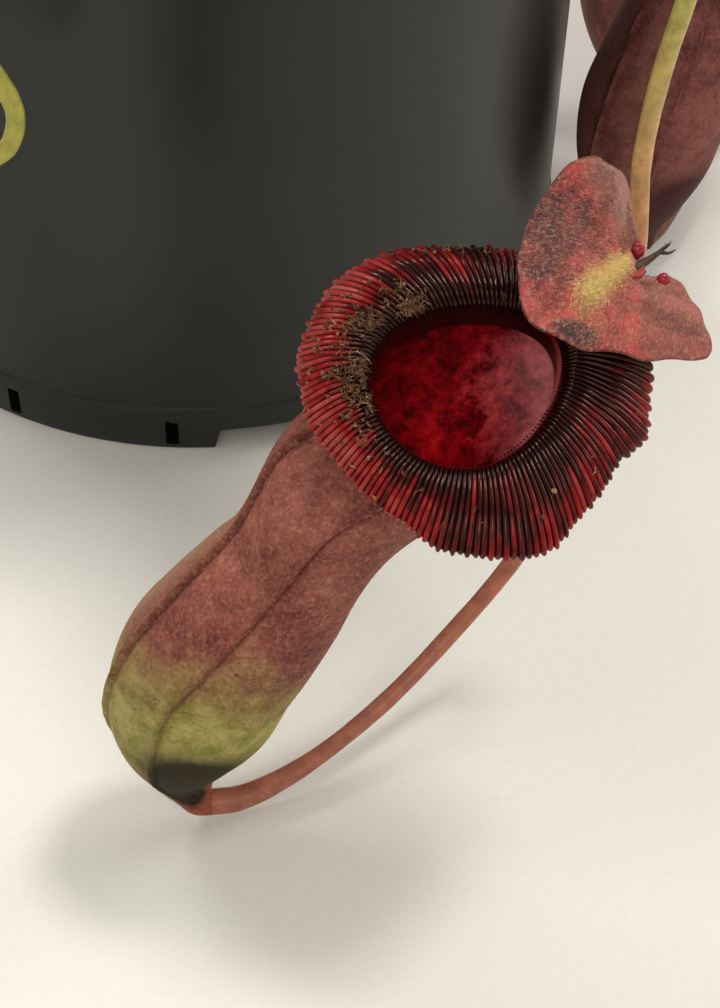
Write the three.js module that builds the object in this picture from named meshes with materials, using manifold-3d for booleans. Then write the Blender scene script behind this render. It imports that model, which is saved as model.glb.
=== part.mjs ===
// Potted tropical pitcher plant, in millimetres, +Z up.
// Origin: the middle of the pot's underside, on the surface that the pot stands on.
// A plastic nursery pot holds a bark and moss mix, and a short stem stands in a plain hole in it.
// Strap leaves leave the stem on a spiral. Each midrib runs on as a tendril, and most tendrils end
// in a hanging pitcher: a hollow cup, a ribbed lip round its mouth, and a heart-shaped lid.
import * as THREE from 'three';
import * as BufferGeometryUtils from 'three/addons/utils/BufferGeometryUtils.js';
import Module from 'manifold-3d';

const wasm = await Module();
wasm.setup();

// ---------------------------------------------------------------- driving dimensions
const GAP = 0.35; // left between pieces that touch

const POT_BASE_RADIUS = 75;
const POT_HEIGHT = 150;
const POT_TAPER = Math.tan(THREE.MathUtils.degToRad(2.2));
const POT_WALL = 1.6;
const POT_SIDES = 48;
const POT_LEDGE_HEIGHT = 11.5; // faint step where the foot band begins
const POT_LEDGE = 0.5;
const RIM_BAND = 13;
const RIM_PROUD = 3.4;
const FLOOR_LIFT = 4; // the pot's bottom is raised above its feet
const BOSS_RADIUS = 15; // middle of the underside, level with the feet
const ARCH_COUNT = 6;
const ARCH_ANGLE = -76;
const ARCH_SPREAD = 22;
const ARCH_HEIGHT = 5.5;
const SLOT_WIDTH = 2.6;
const SLOT_TOP = 8;
const SLOT_OFFSET = 17;

const SOIL_LEVEL = 137;
const SOIL_LUMP = 1.6;
const STEM_RADIUS = 5;
const STEM_HOLE_CLEAR = 0.3;
const STEM_SUNK = 30;
const STEM_TOP = 196;

const CUP_WALL = 1.3;
const BLADE = 0.9;

const plastic = { color: 0x2f302d, roughness: 0.55 };
const mix = { color: 0x4a3524, roughness: 1.0 };
const stemGreen = { color: 0x6f7a35, roughness: 0.6 };
const leafGreen = { color: 0x4f7030, roughness: 0.4 };
const tendrilTan = { color: 0xb07a50, roughness: 0.5 };
const youngGreen = { color: 0xa9a53c, roughness: 0.45 };
const cupPink = { color: 0x8f5f56, roughness: 0.55 };
const lipRed = { color: 0x6a1622, roughness: 0.22 };
const lidRose = { color: 0x94564b, roughness: 0.6 };

// ---------------------------------------------------------------- small helpers
const rad = THREE.MathUtils.degToRad;
const vec = (x, y, z) => new THREE.Vector3(x, y, z);
const clamp01 = (t) => THREE.MathUtils.clamp(t, 0, 1);
const plant = new THREE.Group();

function smooth(from, to, x) {
  return THREE.MathUtils.smoothstep(x, from, to);
}

// Repeatable small random numbers, so that the plant comes out the same each time.
function seeded(seed) {
  let state = seed;
  return () => {
    state = (state * 1664525 + 1013904223) % 4294967296;
    return state / 4294967296;
  };
}

function addMesh(name, geometry, finish) {
  const material = new THREE.MeshStandardMaterial({ ...finish, metalness: 0 });
  const mesh = new THREE.Mesh(geometry, material);
  mesh.name = name;
  plant.add(mesh);
  return mesh;
}

function geometryFrom(points, faces) {
  const numbers = points.flatMap((p) => [p.x, p.y, p.z]);
  const geometry = new THREE.BufferGeometry();
  geometry.setAttribute('position', new THREE.Float32BufferAttribute(numbers, 3));
  geometry.setIndex(faces.flat());
  geometry.computeVertexNormals();
  return geometry;
}

// A closed skin over rings of equal count, each ring counter-clockwise about its direction of travel.
// Both ends close on a middle point, or the last ring joins the first.
function skin(rings, looped = false) {
  const count = rings[0].length;
  const points = rings.flat();
  const faces = [];
  const last = looped ? rings.length : rings.length - 1;
  for (let i = 0; i < last; i += 1) {
    const a = i * count;
    const b = ((i + 1) % rings.length) * count;
    for (let j = 0; j < count; j += 1) {
      const k = (j + 1) % count;
      faces.push([a + j, a + k, b + k], [a + j, b + k, b + j]);
    }
  }
  if (!looped) {
    const ends = [rings[0], rings[rings.length - 1]];
    ends.forEach((ring, end) => {
      const middle = ring.reduce((sum, p) => sum.add(p), vec(0, 0, 0)).divideScalar(count);
      const start = end === 0 ? 0 : (rings.length - 1) * count;
      const centre = points.push(middle) - 1;
      for (let j = 0; j < count; j += 1) {
        const k = (j + 1) % count;
        faces.push(end === 0 ? [centre, start + k, start + j] : [centre, start + j, start + k]);
      }
    });
  }
  return geometryFrom(points, faces);
}

// A thin closed sheet. Both faces have the same grid and the same diagonals, so they never cross.
// With a hub the grid is a disc: each row is a ring, and the first row closes on the hub points.
function sheet(top, bottom, hub = null) {
  const rows = top.length;
  const count = top[0].length;
  const points = [...top.flat(), ...bottom.flat()];
  const under = rows * count;
  const faces = [];
  const across = hub ? count : count - 1;
  for (let i = 0; i < rows - 1; i += 1) {
    for (let j = 0; j < across; j += 1) {
      const k = (j + 1) % count;
      const [a, b, c, d] = [i * count + j, (i + 1) * count + j, (i + 1) * count + k, i * count + k];
      faces.push([a, b, c], [a, c, d]);
      faces.push([under + a, under + c, under + b], [under + a, under + d, under + c]);
    }
  }
  const edge = [];
  if (hub) {
    const [above, below] = [points.push(hub[0]) - 1, points.push(hub[1]) - 1];
    for (let j = 0; j < count; j += 1) {
      const k = (j + 1) % count;
      faces.push([above, j, k], [below, under + k, under + j]);
      edge.push((rows - 1) * count + j);
    }
  } else {
    for (let i = 0; i < rows; i += 1) edge.push(i * count);
    for (let j = 1; j < count; j += 1) edge.push((rows - 1) * count + j);
    for (let i = rows - 2; i >= 0; i -= 1) edge.push(i * count + count - 1);
    for (let j = count - 2; j > 0; j -= 1) edge.push(j);
  }
  edge.forEach((a, i) => {
    const b = edge[(i + 1) % edge.length];
    faces.push([a, under + a, under + b], [a, under + b, b]);
  });
  return geometryFrom(points, faces);
}

function toSolid(geometry) {
  const bare = geometry.clone();
  bare.deleteAttribute('normal');
  bare.deleteAttribute('uv');
  const merged = BufferGeometryUtils.mergeVertices(bare, 1e-4);
  const vertProperties = new Float32Array(merged.attributes.position.array);
  const triVerts = new Uint32Array(merged.index.array);
  return new wasm.Manifold(new wasm.Mesh({ numProp: 3, vertProperties, triVerts }));
}

function fromSolid(solid) {
  const mesh = solid.getMesh();
  const geometry = new THREE.BufferGeometry();
  geometry.setAttribute('position', new THREE.BufferAttribute(new Float32Array(mesh.vertProperties), 3));
  geometry.setIndex(new THREE.BufferAttribute(new Uint32Array(mesh.triVerts), 1));
  geometry.computeVertexNormals();
  return geometry;
}

// A tapered round stalk along a smooth curve through the route's points.
function stalk(route, radiusAt, sides, steps) {
  const curve = new THREE.CatmullRomCurve3(route, false, 'centripetal');
  const frames = curve.computeFrenetFrames(steps, false);
  const rings = [];
  for (let i = 0; i <= steps; i += 1) {
    const t = i / steps;
    const middle = curve.getPointAt(t);
    const ring = [];
    for (let j = 0; j < sides; j += 1) {
      const angle = (2 * Math.PI * j) / sides;
      const side = frames.normals[i].clone().multiplyScalar(Math.cos(angle));
      side.addScaledVector(frames.binormals[i], Math.sin(angle));
      ring.push(middle.clone().addScaledVector(side, radiusAt(t)));
    }
    rings.push(ring);
  }
  return skin(rings);
}

// ---------------------------------------------------------------- pot
const potRadiusAt = (z) => POT_BASE_RADIUS + POT_TAPER * z;

function latheAboutZ(profile, segments) {
  const geometry = new THREE.LatheGeometry(profile.map(([r, z]) => new THREE.Vector2(r, z)), segments);
  geometry.rotateX(Math.PI / 2);
  return geometry;
}

function buildPot() {
  const rimFoot = POT_HEIGHT - RIM_BAND;
  const rimRadius = potRadiusAt(POT_HEIGHT) + RIM_PROUD;
  const inner = (z) => potRadiusAt(z) - POT_WALL;
  const profile = [
    [0, 0],
    [BOSS_RADIUS, 0],
    [BOSS_RADIUS + 3, FLOOR_LIFT],
    [POT_BASE_RADIUS - 7, FLOOR_LIFT],
    [POT_BASE_RADIUS - 5, 0],
    [POT_BASE_RADIUS - 0.8, 0],
    [POT_BASE_RADIUS, 1],
    [potRadiusAt(POT_LEDGE_HEIGHT - 1), POT_LEDGE_HEIGHT - 1],
    [potRadiusAt(POT_LEDGE_HEIGHT) - POT_LEDGE, POT_LEDGE_HEIGHT],
    [potRadiusAt(rimFoot) - POT_LEDGE, rimFoot],
    [rimRadius - 0.6, rimFoot + 0.6],
    [rimRadius, POT_HEIGHT - 1],
    [rimRadius - 1, POT_HEIGHT],
    [inner(POT_HEIGHT) + 0.6, POT_HEIGHT],
    [inner(POT_HEIGHT), POT_HEIGHT - 1],
    [inner(FLOOR_LIFT), FLOOR_LIFT + POT_WALL + 3],
    [inner(FLOOR_LIFT) - 3, FLOOR_LIFT + POT_WALL],
    [0, FLOOR_LIFT + POT_WALL],
  ];
  let pot = toSolid(latheAboutZ(profile, POT_SIDES));
  for (let i = 0; i < ARCH_COUNT; i += 1) {
    const middle = ARCH_ANGLE + (i * 360) / ARCH_COUNT;
    pot = pot.subtract(toSolid(archCutter(middle)));
    for (const side of [-1, 1]) {
      pot = pot.subtract(toSolid(slotCutter(middle + side * SLOT_OFFSET)));
    }
  }
  addMesh('pot', fromSolid(pot), plastic);
}

// A wedge that opens the foot ring between two feet.
function archCutter(angle) {
  const half = rad(ARCH_SPREAD / 2);
  const [near, far] = [POT_BASE_RADIUS - 6.2, POT_BASE_RADIUS + 6];
  const outline = new THREE.Shape();
  outline.moveTo(-near * Math.tan(half), -3);
  outline.lineTo(near * Math.tan(half), -3);
  outline.lineTo(near * Math.tan(half * 0.86), ARCH_HEIGHT);
  outline.lineTo(-near * Math.tan(half * 0.86), ARCH_HEIGHT);
  const wedge = new THREE.ExtrudeGeometry(outline, { depth: far - near, bevelEnabled: false });
  wedge.rotateX(Math.PI / 2);
  wedge.translate(0, far, 0);
  wedge.rotateZ(rad(angle - 90));
  return wedge;
}

function slotCutter(angle) {
  const depth = 14;
  const slot = new THREE.BoxGeometry(depth, SLOT_WIDTH, SLOT_TOP - 1.5);
  slot.translate(POT_BASE_RADIUS, 0, (SLOT_TOP + 1.5) / 2);
  slot.rotateZ(rad(angle));
  return slot;
}

// ---------------------------------------------------------------- growing mix
// Bark and moss mix, with a plain hole that the stem stands in.
const HOLE_FLOOR = SOIL_LEVEL - STEM_SUNK;
const holeRadius = STEM_RADIUS + STEM_HOLE_CLEAR;

function buildSoil() {
  const sides = 24;
  const random = seeded(11);
  const lumps = Array.from({ length: sides * 6 }, () => (random() - 0.5) * 2 * SOIL_LUMP);
  const inner = (z) => potRadiusAt(z) - POT_WALL - GAP;
  const flat = (radius, z) => {
    return ringOf(sides, (angle) => vec(radius * Math.cos(angle), radius * Math.sin(angle), z));
  };
  const foot = FLOOR_LIFT + POT_WALL + 3.5;
  const shoulder = SOIL_LEVEL - 4;
  const rings = [flat(inner(foot) - 4, foot - 3.1), flat(inner(foot) - 0.5, foot)];
  rings.push(flat(inner(shoulder) - 0.5, shoulder));
  const bed = [inner(SOIL_LEVEL) - 2.5, 60, 43, 26, 13];
  bed.forEach((radius, row) => {
    rings.push(ringOf(sides, (angle, j) => {
      const lift = lumps[row * sides + j] + 1.6 * Math.cos(angle * 3 + row);
      return vec(radius * Math.cos(angle), radius * Math.sin(angle), SOIL_LEVEL + lift);
    }));
  });
  rings.push(flat(holeRadius, SOIL_LEVEL), flat(holeRadius, HOLE_FLOOR));
  addMesh('growing_mix', skin(rings), mix);
}

function ringOf(count, pointAt) {
  return Array.from({ length: count }, (_, j) => pointAt((2 * Math.PI * j) / count, j));
}

// ---------------------------------------------------------------- stem and leaves
// Each leaf: compass direction from +X, height on the stem, length, greatest width, starting and final
// climb in degrees, sideways curl in degrees.
const LEAVES = {
  leaf_front_right: { turn: -44, height: 160, length: 148, width: 40, climb: 46, fall: -14, curl: -9 },
  leaf_back: { turn: 92, height: 164, length: 150, width: 42, climb: 50, fall: -24, curl: 10 },
  leaf_front_left: { turn: -142, height: 168, length: 118, width: 34, climb: 48, fall: -12, curl: 12 },
  leaf_right: { turn: -4, height: 171, length: 150, width: 42, climb: 52, fall: -22, curl: 6 },
  leaf_back_left: { turn: 146, height: 175, length: 148, width: 41, climb: 52, fall: -22, curl: -8 },
  leaf_front: { turn: -88, height: 179, length: 104, width: 34, climb: 60, fall: 2, curl: 8 },
  leaf_back_right: { turn: 42, height: 183, length: 146, width: 40, climb: 58, fall: -22, curl: -6 },
  leaf_left: { turn: -172, height: 187, length: 140, width: 38, climb: 60, fall: -22, curl: -10 },
  leaf_young: { turn: 112, height: 188, length: 84, width: 20, climb: 82, fall: 58, curl: 6 },
};
const LEAF_ROWS = 12;
const STALK_SHARE = 0.16; // the narrow winged foot of a leaf, as a share of its length
const LEAF_RIPPLE = 1.5; // waves along a leaf's edges

function stemMiddleAt(z) {
  const rise = Math.max(0, z - SOIL_LEVEL) / (STEM_TOP - SOIL_LEVEL);
  return vec(1.2 * Math.sin(rise * rise * 3), 1.6 * rise * rise, z);
}

// The midrib of a leaf: it climbs from the stem and bows over evenly.
function midribOf(leaf) {
  const points = [];
  const foot = stemMiddleAt(leaf.height);
  const heading = rad(leaf.turn);
  const start = STEM_RADIUS + 0.05; // the blade's foot is grooved, which leaves the gap
  const place = vec(foot.x + start * Math.cos(heading), foot.y + start * Math.sin(heading), leaf.height);
  points.push(place.clone());
  const steps = 24;
  for (let i = 0; i < steps; i += 1) {
    const t = (i + 0.5) / steps;
    const climb = rad(THREE.MathUtils.lerp(leaf.climb, leaf.fall, Math.pow(t, 0.9)));
    const way = rad(leaf.turn + leaf.curl * t * t);
    const step = leaf.length / steps;
    const level = step * Math.cos(climb);
    place.add(vec(level * Math.cos(way), level * Math.sin(way), step * Math.sin(climb)));
    points.push(place.clone());
  }
  return new THREE.CatmullRomCurve3(points);
}

function leafWidthAt(t, width) {
  const foot = 0.2 * width * (1 - 0.35 * t);
  const along = clamp01((t - STALK_SHARE) / (1 - STALK_SHARE));
  const blade = width * Math.pow(Math.sin(Math.PI * Math.pow(along, 0.82)), 0.75);
  return Math.max(foot, blade) * (1 - smooth(0.96, 1, t) * 0.4);
}

function buildLeaf(name, leaf, seed) {
  const midrib = midribOf(leaf);
  const top = [];
  const bottom = [];
  const wave = seeded(seed)() * 6;
  const shares = [-1, -0.5, 0, 0.5, 1];
  for (let i = 0; i < LEAF_ROWS; i += 1) {
    const t = i / (LEAF_ROWS - 1);
    const middle = midrib.getPointAt(t);
    const along = midrib.getTangentAt(t);
    const across = vec(0, 0, 1).cross(along).normalize();
    const up = along.clone().cross(across);
    const half = leafWidthAt(t, leaf.width) / 2;
    const [topRow, bottomRow] = [[], []];
    for (const share of shares) {
      const reach = Math.abs(share);
      const dish = 0.16 * half * reach * reach;
      const phase = wave + (share > 0 ? 1.7 : 0);
      const ripple = LEAF_RIPPLE * reach * reach * Math.sin(t * 16 + phase);
      const groove = share === 0 ? -0.5 : 0;
      const lift = dish + ripple * smooth(0.2, 0.4, t) * (1 - smooth(0.85, 1, t)) + groove;
      const place = middle.clone().addScaledVector(across, half * share).addScaledVector(up, lift);
      const thick = BLADE * (1 - 0.25 * reach) + (share === 0 ? 1.6 * (1 - 0.4 * t) : 0);
      topRow.push(place);
      bottomRow.push(place.clone().addScaledVector(up, -thick));
    }
    top.push(topRow);
    bottom.push(bottomRow);
  }
  addMesh(name, sheet(top, bottom), name === 'leaf_young' ? youngGreen : leafGreen);
  return tendrilStart(midrib);
}

// The first two points of the tendril that runs on from a leaf: it begins square to the leaf's tip.
function tendrilStart(midrib) {
  const way = midrib.getTangentAt(1);
  const low = midrib.getPointAt(1).add(vec(0, 0, -0.9));
  return [GAP + 0.25, GAP + 3.5].map((off) => low.clone().addScaledVector(way, off));
}

function buildStem() {
  const route = [HOLE_FLOOR + GAP, 130, 150, 170, 186, STEM_TOP].map(stemMiddleAt);
  const radius = (t) => STEM_RADIUS * (t > 0.96 ? 0.72 : 1);
  addMesh('stem', stalk(route, radius, 16, 9), stemGreen);
}

// ---------------------------------------------------------------- pitchers
// Middle line of the cup from its foot, as [back, side, up, radius]: the foot leaves the tendril low
// at the back, turns up into the bulb, narrows at the waist and widens to the mouth.
const CUP_STATIONS = [
  [0, 0, 0, 2.4],
  [-2.2, 1.8, 4.1, 4.1],
  [-3.3, 3.4, 8.6, 6.2],
  [-3.3, 2.8, 18.4, 11.1],
  [-2, 1.3, 27.2, 14.2],
  [0.8, -0.8, 38.3, 15.3],
  [4.6, -3.6, 46.5, 14.9],
  [9.9, -6.7, 56.1, 13.2],
  [14.6, -8.8, 63.9, 12],
  [21.3, -10.9, 75.6, 13.2],
];
const FOOT_WAY = [-0.92, 0.39, 0.05]; // the cup leaves its tendril nearly level, towards the front
const CUP_FLOOR_STATION = 2; // the hollow begins above this station
const MOUTH = { back: 37.5, side: -20.8, up: 95.8, rise: 4.6, roll: -20.6 };
const MOUTH_RADIUS = 15.4; // along the mouth's length
const MOUTH_HALF_WIDTH = 12.4;
const MOUTH_SHIFT = [3.2, 1.5]; // the hole's middle from the mouth's, to the back and to the side
const MOUTH_POINT = 0.2; // how much narrower the egg is towards the back
const WING_ANGLE = 30; // the two wings stand this far each side of the front
const WING_PROUD = 1.1;

// Lip reach from the mouth's middle, against the angle from the back.
const LIP_REACH = [
  [-180, 21.6], [-150, 22.2], [-130, 24.8], [-95, 27], [-78, 25.4], [-56, 25.6], [-39, 29.6], [-17, 31],
  [0, 35], [17, 31], [36, 29.2], [60, 27.4], [93, 27.6], [128, 25.8], [150, 24], [180, 21.6],
];
// Lip section from the throat over the crest to the curled edge and back underneath, as
// [distance from the mouth's edge, share of the lip's width, height at the sides, height at the back].
const LIP_SECTION = [
  [0, 0, -5.5, -5.5],
  [0.7, 0, -1.2, -0.8],
  [3.2, 0, 0.9, 1.6],
  [1.5, 0.5, 0.7, 3],
  [0.8, 0.8, -0.9, 4.2],
  [0, 1, -3, 4.6],
  [-0.7, 0.97, -4.1, 3.2],
  [3.4, 0.1, -1.9, -0.6],
  [0.95, 0, -3, -3],
  [0.95, 0, -5.5, -5.5],
];
const THROAT_EDGE = 0; // place in the section of the hanging teeth
const OUTER_EDGE = 5; // place in the section of the outer teeth
const RIB_HEIGHT = [0, 0.3, 0.45, 0.5, 0.45, 0.1, 0, 0, 0, 0];
const RIM_OFFSET = 2.7; // the cup's outer face at its rim, outside the mouth's edge
const RIM_DEPTH = 3.5; // the cup's rim below the mouth's plane

const LID_HINGE = { back: 35.5, side: 1.6, up: 7.6 };
const LID_OPEN = 8;
const LID_ROLL = 12; // the far lobe stands higher
const LID_LENGTH = 23;
const LID_FOLD = 0.42; // rise of the lobes beside the notch, against their reach
const LID_DROOP = 0.5; // fall of the lobes behind the notch
// The lid's outline from the notch, round the far lobe, the tip and the near lobe: [along, across].
const LID_OUTLINE = [
  [2.4, -0.6], [-0.8, 3.8], [-2.7, 10.6], [0, 15.1], [4.3, 18.5], [11.2, 15.9], [19, 10.4], [23.9, 2.5],
  [22.3, -3.1], [15.1, -9.4], [10.5, -12.3], [3.2, -17.5], [1.8, -18.4], [-0.5, -13.7], [-3.6, -5.7],
  [0.6, -3.1],
];

function angleTable(table, angle) {
  let turn = angle;
  while (turn > 180) turn -= 360;
  const next = Math.max(1, table.findIndex(([a]) => a >= turn));
  const [low, lowValue] = table[next - 1];
  const [high, highValue] = table[next];
  const t = (turn - low) / (high - low);
  return THREE.MathUtils.lerp(lowValue, highValue, t * t * (3 - 2 * t));
}

class Pitcher {
  // foot: where the cup meets its tendril; turn: the way its back faces; size: scale of every length;
  // sway: how far it leans to one side; lean: extra lean to the back in degrees.
  constructor({ name, foot, turn, size, sway, lean, ribs, sides, finish }) {
    Object.assign(this, { name, size, sway, ribs, sides, finish });
    this.frame = new THREE.Matrix4().makeTranslation(...foot);
    this.frame.multiply(new THREE.Matrix4().makeRotationZ(rad(turn)));
    this.frame.multiply(new THREE.Matrix4().makeRotationY(rad(lean)));
    this.frame.multiply(new THREE.Matrix4().makeScale(size, size, size));
    const roll = rad(MOUTH.roll * sway);
    const rise = rad(MOUTH.rise);
    this.middle = vec(MOUTH.back, MOUTH.side * sway, MOUTH.up);
    this.back = vec(Math.cos(rise), 0, Math.sin(rise));
    const tipped = vec(-Math.sin(rise) * Math.cos(roll), Math.sin(roll), Math.cos(rise) * Math.cos(roll));
    this.normal = tipped.normalize();
    this.side = this.normal.clone().cross(this.back);
  }

  place(geometry) {
    geometry.applyMatrix4(this.frame);
    return geometry;
  }

  mouthPoint(back, side, up) {
    const point = this.middle.clone().addScaledVector(this.back, back);
    return point.addScaledVector(this.side, side).addScaledVector(this.normal, up);
  }

  // The mouth is an egg with its point at the back.
  mouthEdge(angle, offset) {
    const back = MOUTH_SHIFT[0] + (MOUTH_RADIUS + offset) * Math.cos(angle);
    const bulge = 1 - MOUTH_POINT * Math.cos(angle);
    const side = MOUTH_SHIFT[1] + (MOUTH_HALF_WIDTH + offset) * Math.sin(angle) * bulge;
    return [back, side];
  }

  // The flats between the corners of a ring with few sides cut inwards, so its corners stand further out.
  rimRing(offset, depth) {
    const flats = MOUTH_RADIUS * (1 - Math.cos(Math.PI / this.sides));
    return ringOf(this.sides, (angle) => {
      const [back, side] = this.mouthEdge(angle, offset + flats);
      return this.mouthPoint(back, side, -depth);
    });
  }

  stationRings(inset) {
    const middles = CUP_STATIONS.map(([back, side, up]) => vec(back, side * this.sway, up));
    const waist = middles.length - 1;
    const wayAt = (i) => {
      const next = i === waist ? this.middle : middles[i + 1];
      return next.clone().sub(middles[Math.max(0, i - 1)]).normalize();
    };
    const backAt = (way) => vec(1, 0, 0).addScaledVector(way, -way.x).normalize();
    return CUP_STATIONS.map(([, , , radius], i) => {
      const along = i === 0 ? this.footWay() : wayAt(i);
      const backward = backAt(i === 0 ? wayAt(1) : along);
      if (i === 0) backward.applyQuaternion(new THREE.Quaternion().setFromUnitVectors(wayAt(1), along));
      const sideways = along.clone().cross(backward);
      return ringOf(this.sides, (angle) => {
        const fromFront = Math.abs(180 - THREE.MathUtils.radToDeg(angle));
        const onWing = Math.abs(fromFront - WING_ANGLE) < 180 / this.sides;
        const wing = onWing && inset === 0 ? WING_PROUD * smooth(1, 4, i) : 0;
        const reach = radius - inset + wing;
        const point = middles[i].clone().addScaledVector(backward, reach * Math.cos(angle));
        return point.addScaledVector(sideways, reach * Math.sin(angle));
      });
    });
  }

  flareRing(low, high, share) {
    return low.map((point, j) => point.clone().lerp(high[j], share));
  }

  buildCup() {
    const outer = this.stationRings(0);
    const inner = this.stationRings(CUP_WALL).slice(CUP_FLOOR_STATION + 1);
    const outerRim = this.rimRing(RIM_OFFSET, RIM_DEPTH + 2.5);
    const innerRim = this.rimRing(RIM_OFFSET - CUP_WALL, RIM_DEPTH + 2.5);
    const rings = [...outer];
    rings.push(this.flareRing(outer[outer.length - 1], outerRim, 0.55), outerRim);
    rings.push(this.rimRing(RIM_OFFSET, RIM_DEPTH), this.rimRing(RIM_OFFSET - CUP_WALL, RIM_DEPTH));
    rings.push(innerRim, this.flareRing(inner[inner.length - 1], innerRim, 0.55));
    rings.push(...inner.reverse());
    addMesh(`${this.name}_cup`, this.place(skin(rings)), this.finish ?? cupPink);
  }

  buildLip() {
    const count = this.ribs * 2;
    const sections = [];
    for (let k = 0; k < count; k += 1) {
      const angle = (2 * Math.PI * k) / count;
      const degrees = THREE.MathUtils.radToDeg(angle);
      const [edgeBack, edgeSide] = this.mouthEdge(angle, 0);
      const reach = angleTable(LIP_REACH, degrees);
      const out = new THREE.Vector2(reach * Math.cos(angle) - edgeBack, reach * Math.sin(angle) - edgeSide);
      const width = out.length();
      out.normalize();
      const atBack = 1 - smooth(8, 32, Math.min(degrees, 360 - degrees));
      const ridge = k % 2 === 0 ? 1 : 0;
      sections.push(LIP_SECTION.map(([distance, share, atSides, atRear], i) => {
        const tooth = ridge * (i === OUTER_EDGE ? 0.5 : 0);
        const fang = ridge * (i === THROAT_EDGE ? 0.9 : 0);
        const run = distance + share * width + tooth;
        const height = THREE.MathUtils.lerp(atSides, atRear, atBack) + ridge * RIB_HEIGHT[i] - fang;
        return this.mouthPoint(edgeBack + out.x * run, edgeSide + out.y * run, height);
      }));
    }
    addMesh(`${this.name}_lip`, this.place(skin(sections, true)), lipRed);
  }

  // The lid: a vaulted heart with its lobes folded up at the foot, a short neck and a spur behind.
  lidPoint(along, across, lift) {
    const open = rad(LID_OPEN);
    const aside = Math.abs(across);
    const raised = LID_FOLD * Math.max(0, aside - 3) * (1 - smooth(0, 8, along));
    const fold = raised - LID_DROOP * Math.max(0, -along) * smooth(3, 9, aside);
    const crown = 1.6 * Math.sin(Math.PI * clamp01(along / LID_LENGTH));
    const vault = crown - 0.012 * across * across * smooth(-3, 8, along);
    const rise = lift + vault + fold + Math.tan(rad(LID_ROLL)) * across;
    const back = LID_HINGE.back - along * Math.cos(open) + rise * Math.sin(open);
    const up = LID_HINGE.up + along * Math.sin(open) + rise * Math.cos(open);
    return this.mouthPoint(back, LID_HINGE.side + across, up);
  }

  buildLid() {
    const outline = LID_OUTLINE.map(([along, across]) => new THREE.Vector2(along, across));
    const hub = new THREE.Vector2(8, 0);
    const rows = this.ribs > 30 ? [0.35, 0.7, 1] : [0.55, 1];
    const layer = (lift) => rows.map((share) => outline.map((p) => {
      const at = hub.clone().lerp(p, share);
      return this.lidPoint(at.x, at.y, lift);
    }));
    const thick = 1.1;
    const hubs = [this.lidPoint(hub.x, 0, 0), this.lidPoint(hub.x, 0, -thick)];
    let lid = toSolid(sheet(layer(0), layer(-thick), hubs));
    const neckFoot = this.mouthPoint(LID_HINGE.back - 3.5, LID_HINGE.side * 0.5, 5.1 + GAP);
    const neckTop = this.lidPoint(3.4, 0, -0.4);
    const bend = neckFoot.clone().addScaledVector(this.normal, 0.9);
    lid = lid.add(toSolid(stalk([neckFoot, bend, neckTop], (t) => 1.5 + 0.6 * t, 7, 2)));
    const spurFoot = this.lidPoint(3, 0, -0.6);
    const spurTip = this.mouthPoint(LID_HINGE.back + 5.4, LID_HINGE.side - 1.6, LID_HINGE.up + 3);
    const spurBend = spurFoot.clone().lerp(spurTip, 0.5).addScaledVector(this.normal, -0.7);
    lid = lid.add(toSolid(stalk([spurFoot, spurBend, spurTip], (t) => 1.1 - 0.75 * t, 6, 3)));
    addMesh(`${this.name}_lid`, this.place(fromSolid(lid)), lidRose);
  }

  build() {
    this.buildCup();
    this.buildLip();
    this.buildLid();
  }

  footWay() {
    return vec(FOOT_WAY[0], FOOT_WAY[1] * this.sway, FOOT_WAY[2]).normalize();
  }

  // The last two points of the tendril, which ends square on the cup's foot and just off it.
  tendrilEnd() {
    const way = this.footWay();
    return [-5.5, -GAP].map((off) => way.clone().multiplyScalar(off / this.size).applyMatrix4(this.frame));
  }
}

const PITCHERS = {
  pitcher_front: { foot: [7.1, -168.1, 4.2], turn: 35.3, size: 1, sway: 1, lean: 0, ribs: 44, sides: 24 },
  pitcher_right: { foot: [95.5, -14, 4], turn: 62, size: 0.98, sway: 0.4, lean: -6, ribs: 16, sides: 12 },
  pitcher_back_right: { foot: [96, 40, 4], turn: 75, size: 0.9, sway: 0.3, lean: 2, ribs: 16, sides: 12 },
  pitcher_back_left: { foot: [-50, 115, 4], turn: 200, size: 0.95, sway: -0.6, lean: 2, ribs: 16, sides: 12 },
  pitcher_left: { foot: [-127, -108, 4], turn: 100, size: 0.86, sway: 0.5, lean: 2, ribs: 16, sides: 12 },
};

// Tendril routes between a leaf's tip and a pitcher's foot, in world millimetres.
const TENDRILS = {
  pitcher_front: [
    'leaf_front_right',
    [[93, -116, 176], [86, -121, 157], [83.7, -123.1, 145], [81.6, -122.3, 133], [80, -122, 121],
      [79.3, -122.3, 111], [79.4, -125.6, 100], [78.8, -125.6, 79], [73.9, -128.9, 56],
      [61.7, -133.6, 31], [51.9, -138.9, 19], [37.4, -150, 9], [23, -161.3, 5.2]],
    1.6,
  ],
  pitcher_right: [
    'leaf_right',
    [[158, -12, 158], [163, -6, 120], [161, 6, 82], [152, 26, 50], [136, 42, 24], [116, 22, 7]],
    1.6,
  ],
  pitcher_back_right: [
    'leaf_back_right',
    [[122, 104, 164], [132, 108, 122], [136, 104, 78], [132, 88, 36], [120, 68, 12], [107, 54, 5]],
    1.5,
  ],
  pitcher_back_left: [
    'leaf_back_left',
    [[-124, 86, 180], [-129, 90, 150], [-129, 90, 112], [-126, 90, 80], [-118, 94, 48],
      [-98, 101, 20], [-74, 108, 8]],
    1.5,
  ],
  pitcher_left: [
    'leaf_left',
    [[-142, -25, 180], [-147, -27, 150], [-145, -29, 110], [-142, -30, 78], [-138, -44, 44],
      [-133, -67, 18], [-129, -90, 8]],
    1.5,
  ],
};

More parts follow.
